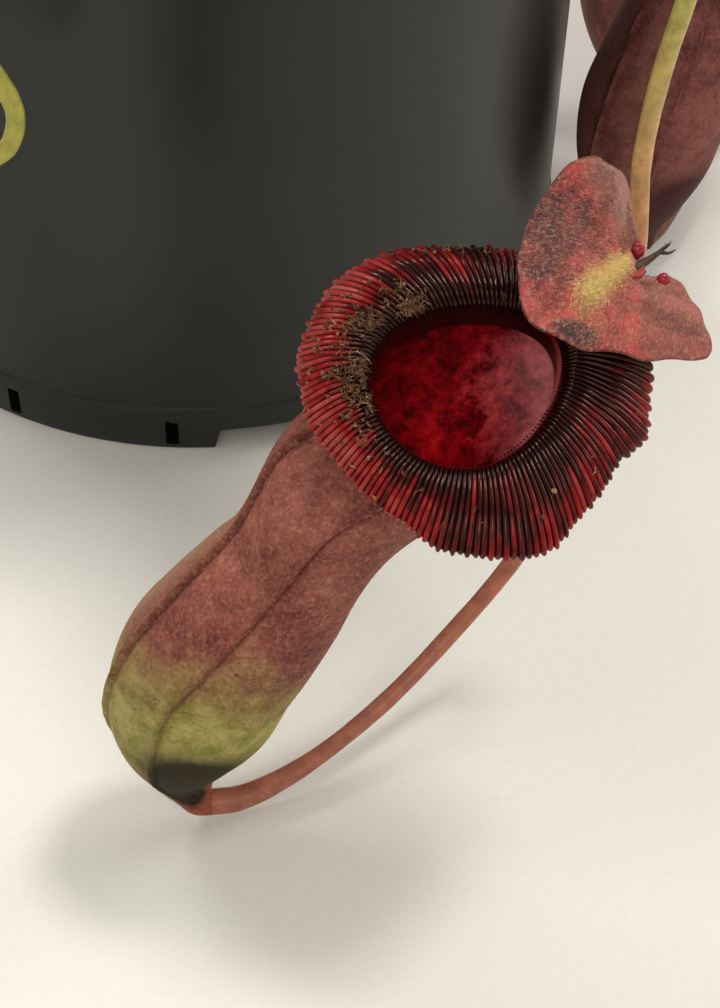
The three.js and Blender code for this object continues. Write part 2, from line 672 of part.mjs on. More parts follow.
// Young tendrils that still carry a small closed pitcher, or none: [leaf, route, radius, bud length].
const YOUNG = {
  front_left: [
    'leaf_front_left',
    [[-62, -92, 168], [-44, -94, 142], [-34.5, -94, 123], [-29, -94, 111], [-25.4, -94, 100],
      [-28.1, -94, 92], [-35, -94, 89.5], [-44, -93, 93]],
    1.7,
    15,
  ],
  back: [
    'leaf_back',
    [[2, 158, 170], [8, 162, 138], [12, 158, 100], [14, 148, 66], [18, 138, 50], [26, 132, 50]],
    1.4,
    30,
  ],
  front: ['leaf_front', [[6, -112, 216], [10, -116, 206]], 1.1, 0],
};

function buildTendril(name, leafTip, route, end, radius, finish, spread = 0) {
  const points = [...leafTip, ...route.map((p) => vec(...p)), ...end];
  const width = (t) => radius * (1.25 - 0.25 * smooth(0, 0.12, t)) + spread * smooth(0.9, 1, t);
  addMesh(name, stalk(points, width, radius > 1.5 ? 8 : 6, 4 + route.length * 2), finish);
}

function buildBud(name, route, length) {
  const tip = vec(...route[route.length - 1]);
  const way = tip.clone().sub(vec(...route[route.length - 2])).normalize();
  const up = vec(0, 0, 1);
  const points = [0, 0.1, 0.3, 0.6, 1].map((t) => {
    const turned = way.clone().lerp(up, 0.9 * t * t).normalize();
    return tip.clone().addScaledVector(way, GAP + 0.1).addScaledVector(turned, length * t);
  });
  const girth = (t) => 1.7 + length * 0.14 * Math.sin(Math.PI * Math.pow(t, 0.8)) * (1 - 0.35 * t);
  addMesh(name, stalk(points, girth, 8, 7), youngGreen);
}

// ---------------------------------------------------------------- assembly
buildPot();
buildSoil();
buildStem();

const leafTips = {};
Object.entries(LEAVES).forEach(([name, leaf], i) => {
  leafTips[name] = buildLeaf(name, leaf, 31 + i);
});

for (const [name, spec] of Object.entries(PITCHERS)) {
  const pitcher = new Pitcher({ name, ...spec });
  pitcher.build();
  const [leaf, route, radius] = TENDRILS[name];
  const spread = 2.3 * spec.size - radius;
  buildTendril(`${name}_tendril`, leafTips[leaf], route, pitcher.tendrilEnd(), radius, tendrilTan, spread);
}

for (const [name, [leaf, route, radius, budLength]] of Object.entries(YOUNG)) {
  buildTendril(`young_tendril_${name}`, leafTips[leaf], route, [], radius, youngGreen);
  if (budLength > 0) buildBud(`young_pitcher_${name}`, route, budLength);
}

export default plant;
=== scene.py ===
"""Potted tropical pitcher plant: the finished look, dressed over the fixed solids.

Metres in the scene, +Z up, with the origin in the middle of the pot's underside. Sizes in the classes
are the plant's own driving dimensions in millimetres; `MM` turns them into metres when a mesh is made.
"""
import logging
import math
from dataclasses import dataclass, field, fields
from enum import Enum
from typing import Callable, ClassVar, Sequence

import bmesh
import bpy
import numpy as np
from mathutils import Matrix, Vector


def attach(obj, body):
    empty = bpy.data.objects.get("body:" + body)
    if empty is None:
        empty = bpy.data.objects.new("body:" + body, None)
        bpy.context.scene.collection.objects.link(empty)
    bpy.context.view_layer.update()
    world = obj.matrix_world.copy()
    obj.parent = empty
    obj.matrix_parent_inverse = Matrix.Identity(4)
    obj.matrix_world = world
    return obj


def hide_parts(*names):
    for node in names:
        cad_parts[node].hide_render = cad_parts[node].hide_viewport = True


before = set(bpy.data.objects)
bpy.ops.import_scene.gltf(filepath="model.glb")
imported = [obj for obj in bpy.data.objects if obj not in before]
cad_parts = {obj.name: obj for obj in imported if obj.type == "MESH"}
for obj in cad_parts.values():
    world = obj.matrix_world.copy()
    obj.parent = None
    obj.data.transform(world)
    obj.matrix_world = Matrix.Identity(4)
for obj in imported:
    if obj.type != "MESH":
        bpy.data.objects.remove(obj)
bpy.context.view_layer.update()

LOG = logging.getLogger("pitcher_plant")
MM = 0.001
GAP = 0.35  # air, in millimetres, between two pieces that stand against each other
SOIL_LEVEL = 137.0
HOLE_FLOOR = 107.0
STEM_RADIUS = 5.0
STEM_TOP = 196.0
UP = np.array([0.0, 0.0, 1.0])

Array = np.ndarray
Values = float | Array
Marks = dict[str, Array]
Stops = tuple[tuple[float, str], ...]
Socket = bpy.types.NodeSocket
Tree = bpy.types.NodeTree
Sources = dict[str, Socket]
Names = tuple[str, ...]
Sums = tuple[tuple[str, str, tuple[str | float, ...]], ...]


# ---- small maths
def smooth(low: float, high: float, x: Values) -> Array:
    """Return the smooth step between two ends, which may stand in either order.

    Args:
        low: where the step is 0.
        high: where the step is 1.
        x: the values to place between them.
    Returns:
        The step at each value.
    """
    t = np.clip((np.asarray(x, float) - low) / (high - low), 0.0, 1.0)
    return t * t * (3.0 - 2.0 * t)


def bell(x: Values, middle: float, width: float) -> Array:
    """Return a bell curve, 1 at its middle and about a third one width away from it.

    Args:
        x: the values to place.
        middle: where the curve peaks.
        width: how wide it is.
    Returns:
        The curve at each value.
    """
    return np.exp(-((x - middle) / width) ** 2)


def lerp(a: Values, b: Values, t: Values) -> Values:
    """Return the straight blend of two values.

    Args:
        a: the value at 0.
        b: the value at 1.
        t: the share of the way from one to the other.
    Returns:
        The value there.
    """
    return a + (b - a) * t


def unit(v: Array) -> Array:
    """Scale vectors to length one.

    Args:
        v: vectors along the last axis.
    Returns:
        The same directions, at length one.
    """
    return v / np.maximum(np.linalg.norm(v, axis=-1, keepdims=True), 1e-9)


def full_turn(count: int) -> Array:
    """Return even angles round a circle, in radians.

    Args:
        count: how many.
    Returns:
        The angles, from 0 up to just short of a full turn.
    """
    return np.linspace(0, 2 * math.pi, count, endpoint=False)


def level_ring(radius: float, z: float, angle: Array) -> Array:
    """Return the points of a level circle about the middle of the pot.

    Args:
        radius: its radius.
        z: its height.
        angle: where its points stand.
    Returns:
        One row for each point.
    """
    return np.stack([radius * np.cos(angle), radius * np.sin(angle), np.full_like(angle, z)], 1)


def linear(hex_colour: str) -> tuple[float, float, float, float]:
    """Turn an sRGB hex colour into linear RGBA.

    Args:
        hex_colour: six hex digits with a leading hash.
    Returns:
        Linear red, green, blue and an alpha of one.
    """
    out = []
    for i in (1, 3, 5):
        c = int(hex_colour[i:i + 2], 16) / 255.0
        out.append(c / 12.92 if c <= 0.04045 else ((c + 0.055) / 1.055) ** 2.4)
    return (*out, 1.0)


def spline(points: Array, per_span: int = 24) -> Array:
    """Run a centripetal Catmull-Rom curve through points.

    Args:
        points: the route, one row each.
        per_span: samples between two neighbours.
    Returns:
        The dense curve, from the first point to the last.
    """
    pts = np.asarray(points, float)
    ext = np.vstack([2 * pts[0] - pts[1], pts, 2 * pts[-1] - pts[-2]])
    out = []
    for i in range(1, len(ext) - 2):
        p0, p1, p2, p3 = ext[i - 1:i + 3]
        d0, d1, d2 = (max(np.linalg.norm(b - a) ** 0.5, 1e-4) for a, b in ((p0, p1), (p1, p2), (p2, p3)))
        m1 = ((p1 - p0) / d0 - (p2 - p0) / (d0 + d1) + (p2 - p1) / d1) * d1
        m2 = ((p2 - p1) / d1 - (p3 - p1) / (d1 + d2) + (p3 - p2) / d2) * d1
        t = np.linspace(0, 1, per_span, endpoint=False)[:, None]
        t2, t3 = t * t, t * t * t
        out.append((2 * t3 - 3 * t2 + 1) * p1 + (t3 - 2 * t2 + t) * m1
                   + (-2 * t3 + 3 * t2) * p2 + (t3 - t2) * m2)
    return np.vstack(out + [pts[-1:]])


def evenly(curve: Array, count: int) -> tuple[Array, Array]:
    """Resample a dense curve at even steps.

    Args:
        curve: dense points.
        count: number of samples.
    Returns:
        The points, and the unit tangents at them.
    """
    run = np.concatenate([[0], np.cumsum(np.linalg.norm(np.diff(curve, axis=0), axis=1))])
    at = np.linspace(0, run[-1], count)
    pts = np.stack([np.interp(at, run, curve[:, k]) for k in range(3)], axis=1)
    return pts, unit(np.gradient(pts, axis=0))


def refine(rows: Array, per_span: int) -> Array:
    """Add smooth rows between coarse ones, column by column.

    Args:
        rows: (row, column, 3) points.
        per_span: new rows for each old span.
    Returns:
        The finer grid, which passes through the old rows.
    """
    ext = np.concatenate([2 * rows[:1] - rows[1:2], rows, 2 * rows[-1:] - rows[-2:-1]])
    out = []
    for i in range(1, len(ext) - 2):
        p0, p1, p2, p3 = ext[i - 1:i + 3]
        for t in np.arange(per_span) / per_span:
            out.append(0.5 * (2 * p1 + (p2 - p0) * t + (2 * p0 - 5 * p1 + 4 * p2 - p3) * t * t
                              + (3 * p1 - p0 - 3 * p2 + p3) * t ** 3))
    return np.stack(out + [rows[-1]])


# ---- meshes
SHARP_FROM = 75.0  # degrees between two faces, from which their edge is drawn sharp


@dataclass
class MeshPlan:
    """A mesh in the making: points in millimetres, faces, and a value at each point for each mark."""

    points: list[Array] = field(default_factory=list)
    faces: list[tuple[int, ...]] = field(default_factory=list)
    slots: list[int] = field(default_factory=list)
    marks: dict[str, list[Array]] = field(default_factory=dict)
    total: int = 0

    def _store(self, points: Array, marks: Marks) -> int:
        """Keep points and their marks.

        Args:
            points: one row each.
            marks: for each name, a value at every point.
        Returns:
            The number of the first point.
        """
        first = self.total
        count = len(points)
        for name in marks:
            self.marks.setdefault(name, [np.zeros(first)] if first else [])
        for name, kept in self.marks.items():
            values = marks.get(name)
            kept.append(np.zeros(count) if values is None
                        else np.broadcast_to(values, (count,)).astype(float))
        self.points.append(points)
        self.total += count
        return first

    def grid(self, rows: Array, marks: Marks, loop: bool = False,
             caps: tuple[bool, bool] = (False, False), slot: int = 0) -> None:
        """Add a grid of quads, whose last column joins the first.

        Args:
            rows: (row, column, 3) points, each row counter-clockwise about the direction of travel.
            marks: for each name, values that broadcast to (row, column).
            loop: whether the last row joins the first.
            caps: whether the first and the last row close on their middles.
            slot: material slot of the faces.
        """
        m, n = rows.shape[:2]
        flat = {k: np.broadcast_to(v, (m, n)).reshape(-1) for k, v in marks.items()}
        first = self._store(rows.reshape(-1, 3), flat)
        i, j = np.meshgrid(np.arange(m if loop else m - 1), np.arange(n), indexing="ij")
        here, above, right = i * n, (i + 1) % m * n, (j + 1) % n
        quads = first + np.stack([here + j, here + right, above + right, above + j], -1).reshape(-1, 4)
        self.faces.extend(map(tuple, quads.tolist()))
        self.slots.extend([slot] * len(quads))
        for row, wanted, turned in ((0, caps[0], True), (m - 1, caps[1], False)):
            if wanted:
                ring = rows[row]
                inner = {k: np.broadcast_to(v, (m, n))[row].mean() for k, v in marks.items()}
                hub = self._store(ring.mean(axis=0)[None], {k: np.array([v]) for k, v in inner.items()})
                for k in range(n):
                    p, q = first + row * n + k, first + row * n + (k + 1) % n
                    self.faces.append((hub, q, p) if turned else (hub, p, q))
                    self.slots.append(slot)

    def copies(self, points: Array, marks: Marks, *face_sets: Array) -> None:
        """Add many copies of one small form.

        Args:
            points: (copy, point, 3) places.
            marks: values that broadcast to (copy, point).
            *face_sets: (face, corner) point numbers in one copy.
        """
        count, each = points.shape[:2]
        flat = {k: np.broadcast_to(v, (count, each)).reshape(-1) for k, v in marks.items()}
        first = self._store(points.reshape(-1, 3), flat)
        for faces in face_sets:
            every = first + faces[None] + (np.arange(count) * each)[:, None, None]
            every = every.reshape(-1, faces.shape[1])
            self.faces.extend(map(tuple, every.tolist()))
            self.slots.extend([0] * len(every))

    def finish(self, name: str, finishes: Sequence["Finish"], place: Matrix | None = None,
               smooth_faces: bool = True) -> bpy.types.Object:
        """Make the Blender object.

        Args:
            name: the object's name.
            finishes: one for each slot.
            place: moves the points, in millimetres, before they become metres.
            smooth_faces: whether the faces are shaded smooth.
        Returns:
            The new object, linked to the scene.
        """
        pts = np.concatenate(self.points)
        if place is not None:
            turn = np.array(place.to_3x3())
            pts = pts @ turn.T + np.array(place.translation)
        mesh = bpy.data.meshes.new(name)
        mesh.from_pydata((pts * MM).tolist(), [], self.faces)
        mesh.polygons.foreach_set("material_index", self.slots)
        mesh.polygons.foreach_set("use_smooth", [smooth_faces] * len(self.faces))
        for mark, parts in self.marks.items():
            store = mesh.attributes.new(mark, "FLOAT", "POINT")
            store.data.foreach_set("value", np.concatenate(parts).astype(np.float32))
        for finish in finishes:
            mesh.materials.append(finish.material())
        mesh.update()
        if smooth_faces:
            mesh.set_sharp_from_angle(angle=math.radians(SHARP_FROM))
        return put(name, mesh)


def put(name: str, data: bpy.types.ID) -> bpy.types.Object:
    """Make an object from its data and link it to the scene.

    Args:
        name: the object's name.
        data: its mesh, light or camera.
    Returns:
        The object.
    """
    made = bpy.data.objects.new(name, data)
    bpy.context.collection.objects.link(made)
    return made


def mesh_of(bm: bmesh.types.BMesh, name: str) -> bpy.types.Mesh:
    """Turn a finished bmesh into a mesh, and free it.

    Args:
        bm: the bmesh.
        name: the mesh's name.
    Returns:
        The mesh.
    """
    mesh = bpy.data.meshes.new(name)
    bm.to_mesh(mesh)
    bm.free()
    return mesh


def settle(piece: bpy.types.Object, node: str | None) -> None:
    """Let a piece ride on the plant, hide the solid that it stands for, and report it.

    Args:
        piece: the finished object.
        node: the solid that it replaces, or None for added detail.
    """
    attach(piece, "root")
    if node is not None:
        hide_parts(node)
    LOG.info("%s: %d faces", piece.name, len(piece.data.polygons))


@dataclass(frozen=True)
class Taper:
    """A stalk's radius: where it starts, how much it changes by its end, and how evenly."""

    start: float
    change: float
    power: float = 1.0

    def __call__(self, share: Array) -> Array:
        """Return the radius.

        Args:
            share: shares of the stalk's length.
        Returns:
            The radius at each.
        """
        return self.start + self.change * share ** self.power


def tube(plan: MeshPlan, route: Array, radius: Callable[[Array], Array], sides: int,
         steps: int) -> None:
    """Add a closed round stalk along a route.

    Args:
        plan: the mesh that receives it.
        route: points of its middle line.
        radius: its radius against the share of its length.
        sides: corners of each ring.
        steps: rings, less one.
    """
    middle, along = evenly(spline(route), steps + 1)
    normal = unit(np.cross(along[0], [0.31, 0.17, 0.93]))
    normals = [normal]
    for t in along[1:]:
        normal = unit(normal - t * np.dot(normal, t))
        normals.append(normal)
    n = np.stack(normals)
    b = np.cross(along, n)
    share = np.linspace(0, 1, steps + 1)
    angle = full_turn(sides)
    ring = np.cos(angle)[None, :, None] * n[:, None] + np.sin(angle)[None, :, None] * b[:, None]
    plan.grid(middle[:, None] + ring * radius(share)[:, None, None], {}, caps=(True, True))


def strands(plan: MeshPlan, roots: Array, ways: Array, lifts: Array,
            length: Array, radius: Array, tone: Array, bend: float = 0.35,
            marks: Marks | None = None) -> None:
    """Add fine tapered hairs.

    Args:
        plan: the mesh that receives them.
        roots: where each hair stands.
        ways: unit direction of each hair at its root.
        lifts: unit direction that it bends towards.
        length: length of each.
        radius: radius of each at its root.
        tone: a random value that the finish reads.
        bend: how far the tip turns towards its lift.
        marks: other values that every hair carries.
    """
    side = unit(np.cross(ways, lifts) + 1e-6)
    up = np.cross(side, ways)
    pieces = []
    for share, thick in ((0.0, 1.0), (0.5, 0.75)):
        centre = roots + (ways * share + lifts * bend * share * share) * length[:, None]
        for k in range(3):
            a = 2 * math.pi * k / 3
            pieces.append(centre + (side * math.cos(a) + up * math.sin(a)) * (radius * thick)[:, None])
    pieces.append(roots + (ways + lifts * bend) * length[:, None])
    plan.copies(np.stack(pieces, axis=1), {"tone": tone[:, None], **(marks or {})},
                np.array([(0, 1, 4, 3), (1, 2, 5, 4), (2, 0, 3, 5)]),
                np.array([(3, 4, 6), (4, 5, 6), (5, 3, 6)]))


def ball(fineness: int, radius: float) -> tuple[Array, Array]:
    """Make a ball of even triangles.

    Args:
        fineness: how often its faces are split.
        radius: its radius.
    Returns:
        Its points, and the point numbers of its triangles.
    """
    bm = bmesh.new()
    bmesh.ops.create_icosphere(bm, subdivisions=fineness, radius=radius)
    points = np.array([v.co[:] for v in bm.verts])
    faces = np.array([[v.index for v in f.verts] for f in bm.faces])
    bm.free()
    return points, faces


def crumb_forms(rng: np.random.Generator, count: int) -> tuple[Array, Array]:
    """Make small lumps that stand for bark, peat or moss.

    Args:
        rng: seeded random numbers.
        count: how many lumps.
    Returns:
        Their points, (lump, point, 3), about one unit across, and their triangles.
    """
    base, faces = ball(1, 0.5)
    wobble = rng.uniform(0.62, 1.2, (count, len(base), 1))
    return base[None] * wobble, faces


def scatter_turns(rng: np.random.Generator, count: int) -> Array:
    """Return random turning matrices.

    Args:
        rng: seeded random numbers.
        count: how many.
    Returns:
        The matrices, (count, 3, 3).
    """
    q = unit(rng.normal(size=(count, 4)))
    w, x, y, z = q.T
    rows = ((1 - 2 * (y * y + z * z), 2 * (x * y - z * w), 2 * (x * z + y * w)),
            (2 * (x * y + z * w), 1 - 2 * (x * x + z * z), 2 * (y * z - x * w)),
            (2 * (x * z - y * w), 2 * (y * z + x * w), 1 - 2 * (x * x + y * y)))
    return np.moveaxis(np.array(rows), -1, 0)


# ---- finishes
def add_node(tree: Tree, kind: str, inputs: dict[str | int, object] | None = None,
             stops: Stops = (), **settings: object) -> bpy.types.Node:
    """Add a node with its settings and links.

    Args:
        tree: the material's node tree.
        kind: the node's type.
        inputs: for each input, a value or another node's output socket.
        stops: places and hex colours, for a colour ramp.
        **settings: properties of the node itself.
    Returns:
        The new node.
    """
    node = tree.nodes.new(kind)
    for key, value in settings.items():
        setattr(node, key, value)
    for key, value in (inputs or {}).items():
        if isinstance(value, bpy.types.NodeSocket):
            tree.links.new(value, node.inputs[key])
        else:
            node.inputs[key].default_value = value
    if stops:
        ramp = node.color_ramp
        while len(ramp.elements) < len(stops):
            ramp.elements.new(1.0)
        for element, (place, colour) in zip(ramp.elements, stops):
            element.position = place
            element.color = linear(colour)
    return node


def per_metre(size_mm: float) -> float:
    """Return the scale of a pattern for coordinates in metres.

    Args:
        size_mm: the width of its features in real millimetres.
    Returns:
        Features per metre.
    """
    return 1.0 / (size_mm * MM)


@dataclass(frozen=True)
class Noise:
    """Fractal noise over a piece, with features of a width in real millimetres.

    Where two marks are named, the noise runs along those and not over the place, in the marks' unit.
    """

    size_mm: float
    detail: float = 3.0
    roughness: float = 0.5
    along: Names = ()
    distortion: float = 0.0


@dataclass(frozen=True)
class Cells:
    """Small cells over a piece: their width in real millimetres, and the distance that is read in each."""

    size_mm: float
    feature: str = "F1"


@dataclass(frozen=True)
class Layer:
    """A colour over the ones below it, as strong as the sum of its sources, which are noises or marks.

    A layer without a colour scales what is below it, and the lowest one, without sources, covers all.
    """

    colour: str | Stops | None
    by: Names = ()
    span: tuple[float, float] | None = None  # the sums at which the strength starts and stops changing
    share: tuple[float, float] = (0.0, 1.0)  # the strength at those two sums
    tones: str = ""  # the source that reads the colour, where the colour is a ramp


@dataclass(frozen=True)
class Relief:
    """A bump: the source of its height, its strength, and its depth in real millimetres."""

    by: str
    strength: float
    depth_mm: float


@dataclass(frozen=True)
class Finish:
    """A finish: its material's name, what it sets on the shader, and the layers of its pattern.

    Every field that holds Noise or Cells is a source under the field's own name. So is every mark, which
    is a value that the mesh carries at each point, and every sum, worked out from other sources.
    """

    name: str = "finish"
    roughness: float = 0.5
    ior: float = 1.45
    subsurface: float = 0.0
    subsurface_mm: float = 1.0
    glint: str = "#ffffff"
    gloss: Layer | None = None
    relief: Relief | None = None
    marks: ClassVar[Names] = ()
    sums: ClassVar[Sums] = ()

    def layers(self) -> tuple[Layer, ...]:
        """Give the finish's own colours.

        Returns:
            The layers from the lowest up, the first of which is a ramp.
        """
        raise NotImplementedError

    def sources(self, tree: Tree, where: Socket) -> Sources:
        """Add what the layers read.

        Args:
            tree: the material's node tree.
            where: the place on the piece, in metres.
        Returns:
            The output of each source, by its name.
        """
        found = {mark: add_node(tree, "ShaderNodeAttribute", attribute_name=mark).outputs["Fac"]
                 for mark in self.marks}
        for item in fields(self):
            source, place = getattr(self, item.name), where
            if isinstance(source, Noise):
                scale = per_metre(source.size_mm)
                if source.along:
                    scale = 1.0 / source.size_mm
                    place = add_node(tree, "ShaderNodeCombineXYZ", {
                        axis: found[mark] for axis, mark in zip("XY", source.along)}).outputs[0]
                found[item.name] = add_node(tree, "ShaderNodeTexNoise", {
                    "Vector": place, "Scale": scale, "Detail": source.detail,
                    "Roughness": source.roughness, "Distortion": source.distortion}).outputs["Fac"]
            elif isinstance(source, Cells):
                found[item.name] = add_node(tree, "ShaderNodeTexVoronoi", {
                    "Vector": place, "Scale": per_metre(source.size_mm)},
                    feature=source.feature).outputs["Distance"]
        for name, operation, parts in self.sums:
            found[name] = add_node(tree, "ShaderNodeMath", {
                i: found[part] if isinstance(part, str) else part for i, part in enumerate(parts)},
                operation=operation).outputs[0]
        return found

    def strength(self, tree: Tree, found: Sources, layer: Layer) -> Socket:
        """Add up a layer's sources, and run the sum through the layer's span.

        Args:
            tree: the material's node tree.
            found: the sources, by name.
            layer: the layer.
        Returns:
            The output that holds the layer's strength.
        """
        total = found[layer.by[0]]
        for name in layer.by[1:]:
            total = add_node(tree, "ShaderNodeMath", {0: total, 1: found[name]}, operation="ADD").outputs[0]
        if layer.span is None:
            return total
        return add_node(tree, "ShaderNodeMapRange", {
            "Value": total, "From Min": layer.span[0], "From Max": layer.span[1],
            "To Min": layer.share[0], "To Max": layer.share[1]}).outputs["Result"]

    def paint(self, tree: Tree, found: Sources) -> Socket:
        """Lay the colours over one another.

        Args:
            tree: the material's node tree.
            found: the sources, by name.
        Returns:
            The output that holds the finished colour.
        """
        ground, *others = self.layers()
        below = add_node(tree, "ShaderNodeValToRGB", {"Fac": found[ground.tones]}, ground.colour).outputs[0]
        for layer in others:
            strength = self.strength(tree, found, layer)
            if layer.colour is None:
                below = add_node(tree, "ShaderNodeVectorMath", {0: below, 3: strength},
                                 operation="SCALE").outputs[0]
                continue
            over = add_node(tree, "ShaderNodeValToRGB", {"Fac": found[layer.tones]},
                            layer.colour).outputs[0] if layer.tones else linear(layer.colour)
            below = add_node(tree, "ShaderNodeMix", {0: strength, 6: below, 7: over},
                             data_type="RGBA").outputs[2]
        return below

    def material(self) -> bpy.types.Material:
        """Build the material: the shader first, then the pattern that feeds it.

        Returns:
            The new material.
        """
        material = bpy.data.materials.new(self.name)
        material.use_nodes = True
        tree = material.node_tree
        tree.nodes.clear()
        shader = add_node(tree, "ShaderNodeBsdfPrincipled", {
            "Roughness": self.roughness, "IOR": self.ior, "Subsurface Weight": self.subsurface,
            "Subsurface Scale": self.subsurface_mm * MM, "Subsurface Radius": (1.0, 0.35, 0.25),
            "Specular Tint": linear(self.glint)})
        add_node(tree, "ShaderNodeOutputMaterial", {"Surface": shader.outputs["BSDF"]})
        found = self.sources(tree, add_node(tree, "ShaderNodeTexCoord").outputs["Object"])
        tree.links.new(self.paint(tree, found), shader.inputs["Base Color"])
        if self.gloss:
            tree.links.new(self.strength(tree, found, self.gloss), shader.inputs["Roughness"])
        if self.relief:
            bump = add_node(tree, "ShaderNodeBump", {
                "Height": found[self.relief.by], "Strength": self.relief.strength,
                "Distance": self.relief.depth_mm * MM})
            tree.links.new(bump.outputs["Normal"], shader.inputs["Normal"])
        return material


@dataclass(frozen=True)
class MottledSkin(Finish):
    """Living plant skin: two or three pigments that cloud into each other, with fine cells over them.

    The clouds give the blotched look from a step away; the cell bump breaks the highlight up, so that
    the surface reads as soft tissue and not as paint.
    """

    relief: Relief | None = Relief("fine", 0.5, 0.12)
    ramp: Stops = ((0.3, "#4f7030"), (0.7, "#7b9447"))
    cloud: Noise = Noise(6.0, 6.0, 0.62)
    fine: Noise = Noise(0.5, 3.0, 0.7)
    speck: str = "#3a2a18"
    speck_share: float = 0.25

    def layers(self) -> tuple[Layer, ...]:
        """Return the clouds and the specks."""
        return (Layer(self.ramp, tones="cloud"),
                Layer(self.speck, ("fine",), (0.5, 0.72), (0.0, self.speck_share)))


@dataclass(frozen=True)
class MouldedPolypropylene(Finish):
    """Injection-moulded polypropylene with a fine spark-eroded grain, as nursery pots have.

    The grain spreads every highlight into a broad soft band, and keeps the black plastic from looking wet.
    """

    name: str = "moulded_polypropylene_charcoal"
    roughness: float = 0.36
    ior: float = 1.44
    gloss: Layer | None = Layer(None, ("flow",), (0.3, 0.7), (0.33, 0.4))
    relief: Relief | None = Relief("grain", 0.35, 0.05)
    deep: str = "#11120f"
    pale: str = "#181916"
    flow: Noise = Noise(40.0)
    grain: Noise = Noise(0.7, 2.0)  # true grit is about 0.1 mm, drawn coarser so that it shows

    def layers(self) -> tuple[Layer, ...]:
        """Return the slow flow marks of the moulding."""
        return (Layer(((0.35, self.deep), (0.7, self.pale)), tones="flow"),)


@dataclass(frozen=True)
class StudioPaper(Finish):
    """Matte studio paper: a pale warm sheet with a faint tooth that keeps the floor from going flat."""

    name: str = "studio_paper_cream"
    roughness: float = 0.85
    relief: Relief | None = Relief("tooth", 0.12, 0.08)
    pale: str = "#f0eee7"
    deep: str = "#eceae2"
    tooth: Noise = Noise(1.2, 4.0)

    def layers(self) -> tuple[Layer, ...]:
        """Return the faint cloud of the sheet."""
        return (Layer(((0.3, self.deep), (0.7, self.pale)), tones="tooth"),)


@dataclass(frozen=True)
class LeafCuticle(Finish):
    """A leathery leaf blade under a thin waxy cuticle.

    The midrib and the long side veins catch the light as pale lines, the net between them quilts the
    highlight, and the margin reddens.
    """

    name: str = "leaf_cuticle"
    roughness: float = 0.38
    subsurface: float = 0.06
    relief: Relief | None = Relief("net", 0.35, 0.35)
    deep: str = "#2f4a1e"
    pale: str = "#5f7d35"
    rib: str = "#a3a85a"
    margin: str = "#7a4a34"
    cloud: Noise = Noise(14, 5.0, 0.6)
    net: Cells = Cells(3.2, "DISTANCE_TO_EDGE")
    marks: ClassVar[Names] = ("vein", "edge")

    def layers(self) -> tuple[Layer, ...]:
        """Return the clouded green, the net, the veins and the margin."""
        return (Layer(((0.3, self.deep), (0.72, self.pale)), tones="cloud"),
                Layer(self.rib, ("net",), (0.0, 0.09), (0.22, 0.0)),
                Layer(self.rib, ("vein",)), Layer(self.margin, ("edge",)))


@dataclass(frozen=True)
class TendrilSkin(Finish):
    """Smooth tendril skin, coloured by its height: green-yellow high up, tan, then red-brown by the foot.

    Fine fibres and a few pale breathing specks keep it from looking like wire.
    """

    name: str = "tendril_skin"
    roughness: float = 0.42
    subsurface: float = 0.08
    relief: Relief | None = Relief("fine", 0.4, 0.1)
    low: str = "#a3604a"
    middle: str = "#b87250"
    high: str = "#c29a5c"
    top: str = "#a3a04a"
    speck: str = "#d9b48c"
    heights_mm: tuple[float, ...] = (10.0, 95.0, 118.0, 150.0)
    blot: Noise = Noise(2.6, 5.0, 0.65)
    fine: Noise = Noise(0.6)
    dots: Cells = Cells(1.9)

    def sources(self, tree: Tree, where: Socket) -> Sources:
        """Add the height to the common sources. Args and Returns are those of Finish."""
        part = add_node(tree, "ShaderNodeSeparateXYZ", {0: where})
        height = add_node(tree, "ShaderNodeMapRange", {
            "Value": part.outputs["Z"], "From Min": 0.0, "From Max": self.heights_mm[-1] * MM})
        return {**super().sources(tree, where), "height": height.outputs["Result"]}

    def layers(self) -> tuple[Layer, ...]:
        """Return the ramp over the height, the blots that darken it, and the specks."""
        colours = (self.low, self.middle, self.high, self.top)
        return (Layer(tuple((h / self.heights_mm[-1], c) for h, c in zip(self.heights_mm, colours)),
                      tones="height"),
                Layer(None, ("blot",), (0.35, 0.7), (0.72, 1.18)),
                Layer(self.speck, ("dots",), (0.07, 0.2), (0.22, 0.0)))


